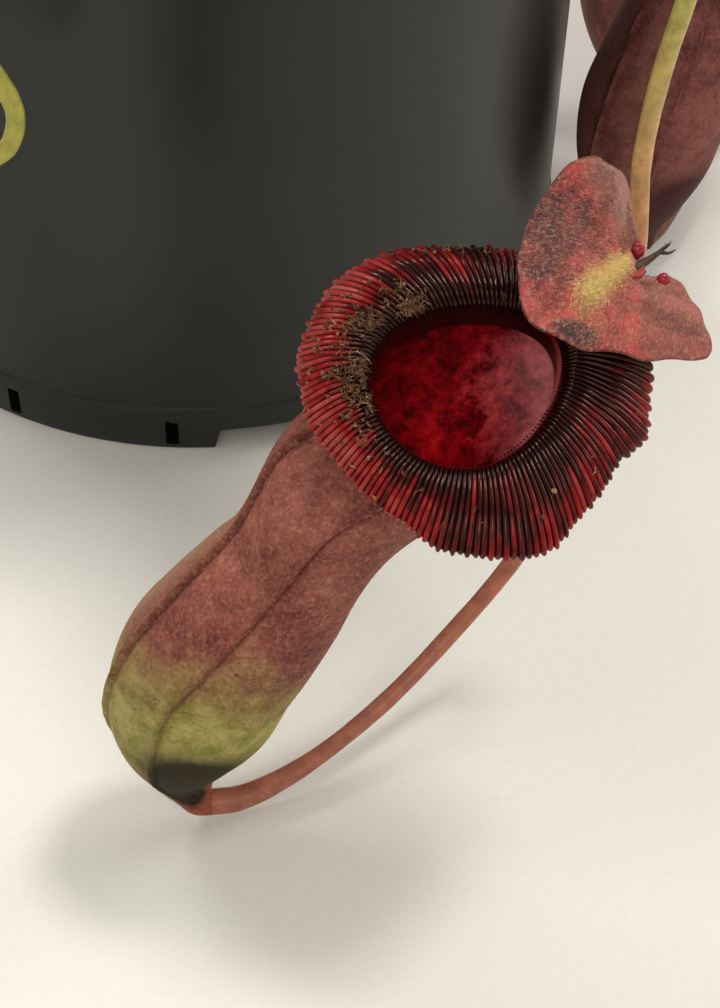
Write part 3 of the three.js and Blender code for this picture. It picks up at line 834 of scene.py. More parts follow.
@dataclass(frozen=True)
class CupSkin(Finish):
    """The downy outer skin of a hanging cup.

    Dusty rose flesh clouded with maroon, greener towards the foot, flecked with tan scurf: the flecks are
    what makes it look downy and not polished.
    """

    name: str = "downy_cup_skin"
    roughness: float = 0.64
    ior: float = 1.2
    subsurface: float = 0.12
    subsurface_mm: float = 1.2
    relief: Relief | None = Relief("fleck", 0.5, 0.16)
    rose: str = "#98584c"
    maroon: str = "#6c3532"
    olive: str = "#a59a5c"
    green: str = "#76762f"
    foot: str = "#8e4c3a"
    # painted shade in the crease beside each wing, which also darkens the wing line; the same colour
    # darkens the fleck pits
    shaded_crease: str = "#4e1d1b"
    # painted shade: the dark colour of the flank that is turned from the light
    painted_flank_shade: str = "#5a2c2a"
    # painted shadow under the cup's foot
    painted_underside_shadow: str = "#120d04"
    scurf: str = "#c8a27c"
    green_share: float = 1.0
    cloud: Noise = Noise(8, 9.0, 0.72)
    patch: Noise = Noise(4.2, 6.0, 0.6)
    fleck: Noise = Noise(0.75, 4.0, 0.75)
    marks: ClassVar[Names] = ("painted_flank_shade", "painted_rim_light", "green", "foot", "shaded_crease", "painted_underside_shadow")

    def layers(self) -> tuple[Layer, ...]:
        """Return the rose clouds, painted shade and painted rim light on the flanks, the ragged green,
        foot, painted shade in the creases, flecks, pits and the painted shadow under the sole.
        """
        return (Layer(((0.36, self.maroon), (0.58, self.rose), (0.82, self.scurf)), tones="cloud"),
                # painted shade on one flank, then painted rim light in the scurf colour on the other
                Layer(self.painted_flank_shade, ("painted_flank_shade",)), Layer(self.scurf, ("painted_rim_light",)),
                Layer(((0.36, self.green), (0.64, self.olive)), ("green", "cloud"), (0.74, 1.22),
                      (0.0, self.green_share), tones="patch"),
                Layer(self.foot, ("foot",)), Layer(self.shaded_crease, ("shaded_crease",)),
                Layer(self.scurf, ("fleck",), (0.5, 0.72), (0.0, 0.36)),
                Layer(self.shaded_crease, ("fleck",), (0.3, 0.46), (0.55, 0.0)),
                Layer(self.painted_underside_shadow, ("painted_underside_shadow",)))


@dataclass(frozen=True)
class CupLining(Finish):
    """The waxy inside of a cup: deep crimson, blotched with maroon, with a pink bloom that is partly
    painted sheen, and painted shade in the throat and by the rim.
    """

    name: str = "waxy_cup_lining"
    roughness: float = 0.5
    ior: float = 1.2
    glint: str = "#ff9a92"
    subsurface: float = 0.1
    relief: Relief | None = Relief("grit", 0.4, 0.25)
    bright: str = "#d0121e"
    deep: str = "#5c0710"
    # a pale waxy bloom on the right wall near the mouth, partly painted sheen
    waxy_bloom_and_sheen: str = "#e29296"
    # night: the painted shade colour, also that of the dark pores
    night: str = "#36050b"
    blotch: Noise = Noise(3.6, 9.0, 0.75)
    grit: Noise = Noise(1.9, 6.0, 0.75)
    marks: ClassVar[Names] = ("waxy_bloom_and_sheen", "shade")

    def layers(self) -> tuple[Layer, ...]:
        """Return the blotches, the mottled bloom with its painted sheen, the painted shade, then bright
        specks and dark pores.
        """
        return (Layer(((0.41, self.deep), (0.6, self.bright)), tones="blotch"),
                Layer(self.waxy_bloom_and_sheen, ("waxy_bloom_and_sheen", "blotch"), (0.62, 1.35), (0.0, 0.95)),
                Layer(self.night, ("shade",)),
                Layer(self.bright, ("grit",), (0.5, 0.7), (0.0, 0.4)),
                Layer(self.night, ("grit",), (0.3, 0.5), (0.5, 0.0)))


@dataclass(frozen=True)
class LipWax(Finish):
    """The waxed, nectar-wet ribs of the mouth's lip.

    Every rib carries its own streak between blood red and near black, the grooves are painted dark as
    shade, and the inner roll is the glossiest place on the plant: it draws the row of highlights round the
    mouth.
    """

    name: str = "waxed_lip_ribs"
    roughness: float = 0.24
    ior: float = 1.42
    glint: str = "#ffc8b8"
    subsurface: float = 0.12
    subsurface_mm: float = 0.8
    gloss: Layer | None = Layer(None, ("fine",), (0.3, 0.7), (0.08, 0.24))
    relief: Relief | None = Relief("fine", 0.35, 0.15)
    night: str = "#1c0807"
    wine: str = "#4a0d10"
    blood: str = "#8c1519"
    flush: str = "#a84e4b"
    # painted shade in the grooves between the ribs
    groove_shade: str = "#1a0606"
    patch: Noise = Noise(9)
    fine: Noise = Noise(1.1, 4.0)
    streak: Noise = Noise(2.0, 4.0, 0.8, along=("rib", "reach"))
    marks: ClassVar[Names] = ("rib", "reach", "ridge", "flush")
    # Each rib's own tone: a streak along it, with more contrast, then patches over several ribs.
    sums: ClassVar[Sums] = (
        ("own", "MULTIPLY_ADD", ("streak", 1.9, -0.47)), ("patched", "ADD", ("own", "patch")),
        ("flushed", "ADD", ("patched", "flush")), ("tone", "MULTIPLY", ("flushed", 0.5)))

    def layers(self) -> tuple[Layer, ...]:
        """Return the ribs' colours and the painted shade in the grooves between them."""
        return (Layer(((0.42, self.night), (0.52, self.wine), (0.63, self.blood), (0.84, self.flush)),
                      tones="tone"),
                Layer(self.groove_shade, ("ridge",), (0.0, 0.85), (0.84, 0.0)))


@dataclass(frozen=True)
class LidSkin(Finish):
    """The lid's thin downy blade: rose and wine clouds under pale scurf, yellow-green by its stalk."""

    name: str = "downy_lid_skin"
    roughness: float = 0.58
    subsurface: float = 0.1
    relief: Relief | None = Relief("streak", 0.6, 0.25)
    rose: str = "#b6413d"
    wine: str = "#46121b"
    # the grey of the painted sheen on the strip behind the notch
    painted_sheen_grey: str = "#85685f"
    lime: str = "#c9bc58"
    bruise: str = "#201c1a"
    scurf: str = "#cc9c7e"
    cloud: Noise = Noise(5, 9.0, 0.74)
    streak: Noise = Noise(1.0, 6.0, 0.74, along=("fan", "run"), distortion=0.8)  # combed from the stalk
    marks: ClassVar[Names] = ("fan", "run", "wine", "sheen", "heart", "bruise")
    sums: ClassVar[Sums] = (("tint", "SUBTRACT", ("cloud", "wine")),)

    def layers(self) -> tuple[Layer, ...]:
        """Return the clouds, the painted sheen by the notch, the green heart, the bruise and the combed
        scurf.
        """
        return (Layer(((0.34, self.wine), (0.6, self.rose)), tones="tint"),
                Layer(self.painted_sheen_grey, ("sheen",)),
                Layer(self.lime, ("heart", "streak"), (0.86, 1.22), (0.0, 0.95)),
                Layer(self.bruise, ("bruise", "cloud"), (0.82, 1.15), (0.0, 0.9)),
                Layer(self.scurf, ("streak",), (0.51, 0.59), (0.0, 0.44)))


@dataclass(frozen=True)
class Fibre(Finish):
    """Dry plant hair or fibre, each strand in its own tone: it catches the light as down."""

    roughness: float = 0.7
    pale: str = "#c7a37c"
    dark: str = "#7d5038"
    cloud: Noise = Noise(5)
    marks: ClassVar[Names] = ("tone",)
    sums: ClassVar[Sums] = (("tint", "MULTIPLY", ("tone", "cloud")),)

    def layers(self) -> tuple[Layer, ...]:
        """Return the ramp over the tone."""
        return (Layer(((0.08, self.dark), (0.5, self.pale)), tones="tint"),)


@dataclass(frozen=True)
class Litter(Finish):
    """Bark, peat and moss bits: matte and fibrous, each piece in its own brown, which reads as soil."""

    name: str = "bark_and_peat_litter"
    roughness: float = 0.85
    relief: Relief | None = Relief("grain", 0.7, 0.4)
    tones: Stops = ((0.0, "#21160e"), (0.5, "#4c3422"), (1.0, "#7b5a3c"))
    grain: Noise = Noise(1.2, 5.0, 0.7)
    grain_share: float = 0.45
    marks: ClassVar[Names] = ("tone",)

    def sources(self, tree: Tree, where: Socket) -> Sources:
        """Add the piece's own tone, broken by fibre grain. Args and Returns are those of Finish."""
        found = super().sources(tree, where)
        found["tint"] = add_node(tree, "ShaderNodeMix", {
            0: self.grain_share, 2: found["tone"], 3: found["grain"]}, data_type="FLOAT").outputs[0]
        return found

    def layers(self) -> tuple[Layer, ...]:
        """Return the ramp over the tone."""
        return (Layer(self.tones, tones="tint"),)


POT_PLASTIC = MouldedPolypropylene()
PAPER = StudioPaper()
LEAF = LeafCuticle()
# The newest blade is thin and yellow-green, so that the crown looks alive.
YOUNG_LEAF = LeafCuticle(name="young_leaf_cuticle", roughness=0.36, deep="#74812c", pale="#a5a647",
                         rib="#c5c272", margin="#b0743e")
HERO_TENDRIL = TendrilSkin()
# Older tendrils are browner and darker, and stay behind the front one.
TENDRIL = TendrilSkin(name="older_tendril_skin", low="#6e3a2a", middle="#985235", high="#8f8744",
                      top="#5f7434", heights_mm=(10.0, 70.0, 140.0, 180.0))
YOUNG_TENDRIL = TendrilSkin(name="young_tendril_skin", roughness=0.36, low="#b7aa4d", middle="#aea748",
                            high="#9aa03c", top="#7f8f38", heights_mm=(20.0, 90.0, 150.0, 190.0))
# A closed bud: olive with a first blush, smooth and a little wet.
YOUNG_CUP = MottledSkin(name="young_cup_skin", roughness=0.4, subsurface=0.12, cloud=Noise(7, 6.0, 0.62),
                        ramp=((0.34, "#8b8f3c"), (0.6, "#b3ab55"), (0.75, "#b9784c")), speck="#8a3e2e")
# Half-woody stem: dull olive, blotched where old leaves stood.
STEM_SKIN = MottledSkin(name="leaf_scarred_stem", roughness=0.55, cloud=Noise(9, 6.0, 0.62),
                        ramp=((0.32, "#4b4a24"), (0.56, "#6f7a35"), (0.74, "#8b8a4c")))
CUP_SKIN = CupSkin()
# Two of the pitchers behind: one browner and darkened all over as painted shade, one rosy all over, so that
# no two look alike.
SHADED_CUP_SKIN = CupSkin(name="shaded_cup_skin", rose="#84504a", maroon="#542827", olive="#5f4a2c",
                        green="#41301f", scurf="#96655a", painted_flank_shade="#220a08", foot="#5a312b",
                        painted_underside_shadow="#3c1a18", green_share=0.1)
ROSE_CUP_SKIN = CupSkin(name="rose_cup_skin", rose="#c8827e", maroon="#a35654", foot="#a15a52",
                        painted_underside_shadow="#8a4a42", olive="#b0806c", green="#a06a58", painted_flank_shade="#8a4a46", green_share=0.3)
CUP_LINING = CupLining()
LIP_WAX = LipWax()
LID_SKIN = LidSkin()
# Down is a little paler than the skin it stands on, which softens both outlines.
LID_DOWN = Fibre(name="lid_down", pale="#cf9d80", dark="#7a3a34")
CUP_DOWN = Fibre(name="cup_down", pale="#c8a48c", dark="#8a5248")
# The dead, papery spur behind the lid: dark, dry and fibrous against the wet red round it.
SPUR_BARK = MottledSkin(name="dry_spur_fibre", roughness=0.6, cloud=Noise(2.0, 6.0, 0.62),
                        ramp=((0.35, "#241a12"), (0.65, "#4e3b22")), speck="#171009")
# Nectar: two small wet beads, the brightest points by the lid.
NECTAR_BEAD = MottledSkin(name="nectar_wet_bead", roughness=0.18, subsurface=0.15,
                          cloud=Noise(1.6, 6.0, 0.62), fine=Noise(0.9, 3.0, 0.7),
                          ramp=((0.35, "#7d1220"), (0.65, "#b02a36")), speck="#5b0a14")
# Dry moss is sandy brown, peat nearly black and bark red-brown: three browns that read as one mix.
DRY_MOSS = Litter(name="dried_moss_crumbs", tones=((0.0, "#1c110a"), (0.5, "#684228"), (1.0, "#bd9365")),
                  grain=Noise(0.6, 5.0, 0.7))
PEAT = Litter(grain=Noise(1.4, 5.0, 0.7), tones=((0.0, "#150e08"), (0.5, "#33231a"), (1.0, "#5a432e")))
BARK = Litter(name="composted_bark_chips", tones=((0.0, "#3a2315"), (0.5, "#6b4529"), (1.0, "#96683f")))
# Perlite: chalky off-white grains that lift the dark mix.
PERLITE = MottledSkin(name="expanded_perlite", roughness=0.9, cloud=Noise(1.5, 6.0, 0.62), speck="#b9b3a4",
                      ramp=((0.3, "#d8d3c6"), (0.7, "#f1eee6")), speck_share=0.4)


# ---- pot
@dataclass
class NurseryPot:
    """The moulded pot: a tapered wall on a foot ring with arches and slots, and a proud rim."""

    base_radius: float = 75.0
    height: float = 150.0
    taper: float = math.tan(math.radians(2.2))
    wall: float = 1.6
    ledge_height: float = 11.5
    ledge: float = 0.5
    rim_band: float = 13.0
    rim_proud: float = 3.4
    floor_lift: float = 4.0
    boss_radius: float = 15.0
    arch_count: int = 6
    arch_angle: float = -76.0
    arch_spread: float = 22.0
    arch_height: float = 5.5
    arch_narrowing: float = 0.86
    slot_width: float = 2.6
    slot_top: float = 8.0
    slot_offset: float = 17.0
    sides: int = 288

    def radius_at(self, z: float) -> float:
        """Return the outer radius at a height.

        Args:
            z: the height.
        Returns:
            The radius, less any ledge.
        """
        return self.base_radius + self.taper * z

    def profile(self) -> list[tuple[float, float]]:
        """Return the turned outline, from the middle of the underside round to the floor.

        Returns:
            The corners, as (radius, height).
        """
        at, inner = self.radius_at, self.inner_at
        top, step, lift, base = self.height, self.ledge_height, self.floor_lift, self.base_radius
        rim_foot, rim = top - self.rim_band, at(top) + self.rim_proud
        return [(0.0, 0.0), (self.boss_radius, 0.0), (self.boss_radius + 3, lift), (base - 7, lift),
                (base - 5, 0.0), (base - 0.8, 0.0), (base - 0.2, 0.35), (base, 1.0),
                (at(step - 1), step - 1), (at(step) - 0.15, step - 0.45),
                *((at(z) - self.ledge, z) for z in (step, 40.0, 75.0, 110.0, rim_foot)),
                (rim - 0.9, rim_foot + 0.35), (rim - 0.55, rim_foot + 0.9), (rim - 0.1, top - 1.4),
                (rim - 0.3, top - 0.4), (rim - 1, top), (inner(top) + 0.6, top), (inner(top), top - 1),
                (inner(lift), lift + self.wall + 3), (inner(lift) - 3, lift + self.wall),
                (0.0, lift + self.wall)]

    def inner_at(self, z: float) -> float:
        """Return the inner radius at a height.

        Args:
            z: the height.
        Returns:
            The radius.
        """
        return self.radius_at(z) - self.wall

    def cutters(self) -> bpy.types.Object:
        """Make the blocks that cut the arches and slots.

        Returns:
            One object that holds all of them.
        """
        bm = bmesh.new()
        for i in range(self.arch_count):
            middle = self.arch_angle + i * 360 / self.arch_count
            width = math.degrees(self.slot_width / self.base_radius)
            spots = [(middle, self.arch_spread, -3.0, self.arch_height, self.base_radius - 0.1, 12.2)]
            spots += [(middle + side * self.slot_offset, width, 1.5, self.slot_top, self.base_radius, 14.0)
                      for side in (-1, 1)]
            for angle, spread, low, high, radius, depth in spots:
                wide = 2 * radius * math.tan(math.radians(spread / 2))
                turn = Matrix.Rotation(math.radians(angle), 4, "Z")
                size = Matrix.Diagonal((depth, wide, high - low, 1.0))
                shift = Matrix.Translation((radius, 0, (high + low) / 2))
                made = bmesh.ops.create_cube(bm, size=1.0, matrix=turn @ shift @ size)
                if spread == self.arch_spread:
                    for v in made["verts"]:
                        if v.co.z > 0:
                            local = turn.inverted() @ v.co
                            v.co = turn @ Vector((local.x, local.y * self.arch_narrowing, local.z))
        bmesh.ops.scale(bm, vec=(MM, MM, MM), verts=bm.verts)
        return put("foot_cutters", mesh_of(bm, "foot_cutters"))

    def build(self) -> None:
        """Turn the pot, cut its foot and dress it."""
        angle = full_turn(self.sides)
        rows = np.stack([level_ring(r, z, angle) for r, z in self.profile()[1:-1]])
        plan = MeshPlan()
        plan.grid(rows, {}, caps=(True, True))
        pot = plan.finish("moulded_pot", [POT_PLASTIC])
        cutter = self.cutters()
        cut = pot.modifiers.new("foot_openings", "BOOLEAN")
        cut.operation = "DIFFERENCE"
        cut.solver = "EXACT"
        cut.object = cutter
        shaped = bpy.data.meshes.new_from_object(pot.evaluated_get(bpy.context.evaluated_depsgraph_get()))
        pot.modifiers.remove(cut)
        pot.data = shaped
        shaped.name = "moulded_pot"
        bpy.data.objects.remove(cutter)
        pot.data.set_sharp_from_angle(angle=math.radians(32))
        settle(pot, "pot")


# ---- growing mix
@dataclass
class GrowingMix:
    """Bark and moss mix in the pot, with a plain hole for the stem and loose bits lying on it."""

    pot: NurseryPot
    level: float = SOIL_LEVEL
    hole_radius: float = 5.3
    rows: int = 44
    sides: int = 180
    chips: int = 620
    beads: int = 130
    fibres: int = 700

    def lift(self, x: Array, y: Array) -> Array:
        """Return how far the surface stands over its level: slow hills, and none of them by the stem.

        Args:
            x: places to the right, in millimetres.
            y: places to the back.
        Returns:
            The height at each place.
        """
        waves = (1.1 * np.sin(x * 0.11 + 1.3) * np.cos(y * 0.13 + 0.4)
                 + 0.8 * np.sin(x * 0.29 + y * 0.21)
                 + 0.45 * np.sin(x * 0.9 + 2) * np.sin(y * 0.83 + 1))
        return waves * smooth(6.0, 16.0, np.hypot(x, y))

    def bed(self) -> None:
        """Build the body of the mix."""
        angle = full_turn(self.sides)
        foot = self.pot.floor_lift + self.pot.wall + 3.5
        shoulder = self.level - 4
        widest, at_shoulder, at_level = (self.pot.inner_at(z) - GAP for z in (foot, shoulder, self.level))
        body = [level_ring(r, z, angle) for r, z in (
            (widest - 4, foot - 3.1), (widest - 0.5, foot), (at_shoulder - 0.5, shoulder))]
        rng = np.random.default_rng(5)
        for r in np.linspace(at_level - 1.5, self.hole_radius + 1.2, self.rows):
            x, y = r * np.cos(angle), r * np.sin(angle)
            rough = rng.normal(0, 0.28, self.sides)
            body.append(np.stack([x, y, self.level + self.lift(x, y) + rough], 1))
        body += [level_ring(self.hole_radius, z, angle) for z in (self.level - 0.4, HOLE_FLOOR)]
        plan = MeshPlan()
        plan.grid(np.stack(body), {"tone": np.array([[0.35]])}, caps=(True, True))
        settle(plan.finish("peat_bed", [PEAT]), "growing_mix")

    def spots(self, rng: np.random.Generator, count: int, lift: float) -> Array:
        """Return places on the surface, clear of the stem and of the pot's wall.

        Args:
            rng: seeded random numbers.
            count: how many places.
            lift: how far over the surface they stand.
        Returns:
            One row for each place.
        """
        reach = self.pot.inner_at(self.level) - 6.5
        r = np.sqrt(rng.uniform(9.5 ** 2, reach ** 2, count))
        a = rng.uniform(0, 2 * math.pi, count)
        x, y = r * np.cos(a), r * np.sin(a)
        return np.stack([x, y, self.level + self.lift(x, y) + lift], 1)

    def litter(self) -> None:
        """Scatter bark chips, perlite and moss fibres over the bed."""
        rng = np.random.default_rng(17)
        forms, faces = crumb_forms(rng, self.chips)
        size = np.stack([rng.uniform(3, 10, self.chips), rng.uniform(2.2, 6, self.chips),
                         rng.uniform(1.2, 2.8, self.chips)], 1)[:, None]
        lean = rng.uniform(-0.4, 0.4, (self.chips, 2))
        yaw = rng.uniform(0, 2 * math.pi, self.chips)
        laid = forms * size
        x = laid[..., 0] * np.cos(yaw)[:, None] - laid[..., 1] * np.sin(yaw)[:, None]
        y = laid[..., 0] * np.sin(yaw)[:, None] + laid[..., 1] * np.cos(yaw)[:, None]
        z = laid[..., 2] + lean[:, :1] * laid[..., 0] + lean[:, 1:] * laid[..., 1]
        plan = MeshPlan()
        plan.copies(np.stack([x, y, z], -1) + self.spots(rng, self.chips, 0.7)[:, None],
                    {"tone": rng.uniform(0, 1, (self.chips, 1))}, faces)
        settle(plan.finish("bark_chips", [BARK], smooth_faces=False), None)
        forms, faces = crumb_forms(rng, self.beads)
        plan = MeshPlan()
        size = rng.uniform(1.4, 3.4, (self.beads, 1, 1))
        plan.copies(forms * size + self.spots(rng, self.beads, 1.0)[:, None], {}, faces)
        settle(plan.finish("perlite_beads", [PERLITE]), None)
        plan = MeshPlan()
        roots = self.spots(rng, self.fibres, 0.6)
        ways = unit(rng.normal(0, 1, (self.fibres, 3)) * [1, 1, 0.35])
        ways[:, 2] = np.abs(ways[:, 2])
        strands(plan, roots, ways, np.tile(UP, (self.fibres, 1)), rng.uniform(3, 9, self.fibres),
                rng.uniform(0.1, 0.22, self.fibres), rng.uniform(0, 1, self.fibres), bend=-0.12)
        settle(plan.finish("moss_fibres", [DRY_MOSS]), None)

    def build(self) -> None:
        """Build the bed, then the litter on it."""
        self.bed()
        self.litter()


# ---- stem and leaves
def stem_middle(z: float) -> Array:
    """Return the middle of the stem at a height.

    Args:
        z: the height.
    Returns:
        The point.
    """
    rise = max(0.0, z - SOIL_LEVEL) / (STEM_TOP - SOIL_LEVEL)
    return np.array([1.2 * math.sin(rise * rise * 3), 1.6 * rise * rise, z])


@dataclass
class Leaf:
    """A strap leaf on a narrow winged foot. Angles in degrees, lengths in millimetres."""

    name: str
    turn: float
    height: float
    length: float
    width: float
    climb: float
    fall: float
    curl: float
    seed: int
    young: bool = False
    stalk_share: float = 0.16
    blade: float = 0.9
    ripple: float = 1.5
    rows: int = 90
    columns: int = 33
    side_veins: int = 7

    def midrib(self) -> Array:
        """Run the midrib from the stem to the tip.

        Returns:
            Its dense curve.
        """
        heading = math.radians(self.turn)
        place = stem_middle(self.height) + (STEM_RADIUS + 0.05) * np.array(
            [math.cos(heading), math.sin(heading), 0])
        points, steps = [place], 24
        for i in range(steps):
            t = (i + 0.5) / steps
            climb = math.radians(lerp(self.climb, self.fall, t ** 0.9))
            way = math.radians(self.turn + self.curl * t * t)
            place = place + self.length / steps * np.array(
                [math.cos(climb) * math.cos(way), math.cos(climb) * math.sin(way), math.sin(climb)])
            points.append(place)
        return spline(np.array(points), 8)

    def width_at(self, t: Array) -> Array:
        """Return the blade's width.

        Args:
            t: shares of its length.
        Returns:
            The width at each.
        """
        foot = 0.2 * self.width * (1 - 0.35 * t)
        along = np.clip((t - self.stalk_share) / (1 - self.stalk_share), 0, 1)
        blade = self.width * np.sin(math.pi * along ** 0.82).clip(0) ** 0.75
        return np.maximum(foot, blade) * (1 - smooth(0.96, 1, t) * 0.4)

    def build(self) -> Array:
        """Build the blade and dress it.

        Returns:
            The first two points of the tendril that runs on from it.
        """
        first = np.random.default_rng(self.seed).uniform(0, 6)
        phase = (self.seed * 1664525 + 1013904223) % 2 ** 32 / 2 ** 32 * 6  # as the solid's ripple has it
        t = np.linspace(0, 1, self.rows)
        middle, along = evenly(self.midrib(), self.rows)
        across = unit(np.cross(UP, along))
        up = np.cross(along, across)
        share = np.sin(np.linspace(-1, 1, self.columns) * math.pi / 2)[None]
        tt = t[:, None]
        half = self.width_at(t)[:, None] / 2
        reach = np.abs(share)
        dish = 0.16 * half * reach ** 2
        side_phase = phase + np.where(share > 0, 1.7, 0.0)
        ease = smooth(0.2, 0.4, tt) * (1 - smooth(0.85, 1, tt))
        ripple = self.ripple * reach ** 2 * np.sin(tt * 16 + side_phase) * ease
        fine = 0.35 * reach ** 4 * np.sin(tt * 61 + first) * ease
        from_rib = np.abs(share * half)
        at_rib = bell(from_rib, 0.0, 0.9)
        vein_wave = np.cos(share * math.pi * self.side_veins)
        veins = 0.1 * (vein_wave ** 8) * smooth(0.12, 0.3, tt) * (1 - reach ** 6)
        top = (middle[:, None] + across[:, None] * (half * share)[..., None]
               + up[:, None] * (dish + ripple + fine - 0.5 * at_rib - veins)[..., None])
        keel = 1.5 * (1 - 0.4 * tt) * bell(from_rib, 0.0, 1.5)
        thick = self.blade * (1 - 0.25 * reach) + keel
        under = top - up[:, None] * thick[..., None]
        one_side = {"vein": np.maximum(0.85 * at_rib, 0.28 * vein_wave ** 24 * smooth(0.12, 0.3, tt)),
                    "edge": smooth(0.93, 1.0, reach) * 0.75 + 0 * tt}
        plan = MeshPlan()
        plan.grid(np.concatenate([under, top[:, ::-1]], axis=1),
                  {k: np.concatenate([v, v[:, ::-1]], 1) for k, v in one_side.items()}, caps=(True, True))
        finish = YOUNG_LEAF if self.young else LEAF
        settle(plan.finish(f"blade_{self.name}", [finish]), f"leaf_{self.name}")
        low = middle[-1] + [0, 0, -0.9]
        return np.stack([low + along[-1] * 0.06, low + along[-1] * (GAP + 3.5)])


LEAVES = (
    Leaf("front_right", -44, 160, 148, 40, 46, -14, -9, 31),
    Leaf("back", 92, 164, 150, 42, 50, -24, 10, 32),
    Leaf("front_left", -142, 168, 118, 34, 48, -12, 12, 33),
    Leaf("right", -4, 171, 150, 42, 52, -22, 6, 34),
    Leaf("back_left", 146, 175, 148, 41, 52, -22, -8, 35),
    Leaf("front", -88, 179, 104, 34, 60, 2, 8, 36),
    Leaf("back_right", 42, 183, 146, 40, 58, -22, -6, 37),
    Leaf("left", -172, 187, 140, 38, 60, -22, -10, 38),
    Leaf("young", 112, 188, 84, 20, 82, 58, 6, 39, young=True),
)


@dataclass
class Stem:
    """The short upright stem, ringed by the scars of old leaves."""

    sides: int = 40
    steps: int = 150

    def build(self) -> None:
        """Build the stem."""
        route = np.array([stem_middle(z) for z in (HOLE_FLOOR + GAP, 130, 150, 170, 186, STEM_TOP)])

        def radius(t: Array) -> Array:
            """Return the radius with its scar rings.

            Args:
                t: shares of the length.
            Returns:
                The radius at each.
            """
            rings = 0.12 * np.cos(t * 62) ** 6
            return STEM_RADIUS * (1 - 0.28 * smooth(0.955, 1, t)) - 0.12 + rings

        plan = MeshPlan()
        tube(plan, route, radius, self.sides, self.steps)
        settle(plan.finish("scarred_stem", [STEM_SKIN]), "stem")


# ---- pitchers
# Middle line of the cup from its foot, as (back, side, up, radius).
CUP_STATIONS = (
    (0, 0, 0, 2.4), (-2.2, 1.8, 4.1, 4.1), (-3.3, 3.4, 8.6, 6.2), (-3.3, 2.8, 18.4, 11.1),
    (-2, 1.3, 27.2, 14.2), (0.8, -0.8, 38.3, 15.3), (4.6, -3.6, 46.5, 14.9), (9.9, -6.7, 56.1, 13.2),
    (14.6, -8.8, 63.9, 12), (21.3, -10.9, 75.6, 13.2))
# Lip reach from the mouth's middle, against the angle from the back.
LIP_REACH = ((-180, 21.6), (-150, 22.2), (-130, 24.8), (-95, 27), (-78, 25.4), (-56, 25.6), (-39, 29.6),
             (-17, 31), (0, 35), (17, 31), (36, 29.2), (60, 27.4), (93, 27.6), (128, 25.8), (150, 24),
             (180, 21.6))
# Lip section from the throat over the crest to the curled edge and back underneath, as (distance from the
# mouth's edge, share of the lip's width, height at the sides, height at the back, rib height).
LIP_SECTION = (
    (0, 0, -5.5, -5.5, 0), (0.7, 0, -1.2, -0.8, 0.3), (3.2, 0, 0.9, 1.6, 0.45), (1.5, 0.5, 0.7, 3, 0.5),
    (0.8, 0.8, -0.9, 4.2, 0.45), (0, 1, -3, 4.6, 0.1), (-0.7, 0.97, -4.1, 3.2, 0),
    (3.4, 0.1, -1.9, -0.6, 0), (0.95, 0, -3, -3, 0), (0.95, 0, -5.5, -5.5, 0))
OUTER_EDGE = 5  # the row of that section that is the lip's outer edge
TENDRIL_FOOT = 2.36  # the tendril's radius where it joins a cup of size 1
# The lid's outline from the notch, round the far lobe, the tip and the near lobe, as (along, across).
LID_OUTLINE = ((2.4, 0.6), (1.7, 3.3), (-0.8, 3.8), (-1.7, 6.7), (-2.7, 10.6), (-2.3, 12.9), (0, 15.1),
               (1.3, 16.7), (4.3, 18.5), (6.2, 18.2), (11.2, 15.9), (15, 13.7), (19, 10.4), (21.3, 7.7),
               (23.9, 2.5), (23.8, -0.8), (22.3, -3.1), (18.2, -7.6), (15.1, -9.4), (10.5, -12.3),
               (5.8, -14.5), (3.2, -17.5), (1.8, -18.4), (0.4, -16.6), (-0.5, -13.7), (-2.7, -9.8),
               (-3.6, -5.7), (-2.3, -4.3), (-1, -3), (0.6, -3.1), (2.1, -3.4), (2.4, -1.8))
LID_LENGTH = 23.0
LID_HUB = np.array([8.0, 0.0])
# Nectar beads in the mouth's own directions, as (back, side, up, radius).
NECTAR_BEADS = ((35.3, 4.0, 7.6, 1.5), (36.2, -2.1, 6.7, 1.2))
# Where dry moss lies on the lip, as (angle, spread, crumbs, place across the lip, spread across).
MOSS_SPOTS = (
    (93, 9, 80, 1.5, 0.5), (116, 8, 60, 2.0, 0.6), (126, 30, 60, 2.4, 1.1), (143, 8, 60, 1.7, 0.6),
    (161, 10, 40, 1.6, 0.7), (180, 40, 26, 2.4, 1.3), (60, 16, 16, 3.9, 0.6), (24, 18, 24, 1.4, 0.5),
    (270, 60, 10, 3.0, 1.2))


class Grade(Enum):
    """How fine a pitcher is drawn: the one in front is seen close up."""

    NEAR = "near"
    FAR = "far"


# Points across one rib, as (place, height), from one groove to just short of the next.
RIB_ACROSS = {
    Grade.NEAR: ((-0.5, 0.0), (-0.38, 0.62), (-0.2, 0.95), (0.0, 1.0), (0.2, 0.95), (0.38, 0.62)),
    Grade.FAR: ((-0.5, 0.0), (-0.2, 1.0), (0.2, 1.0))}


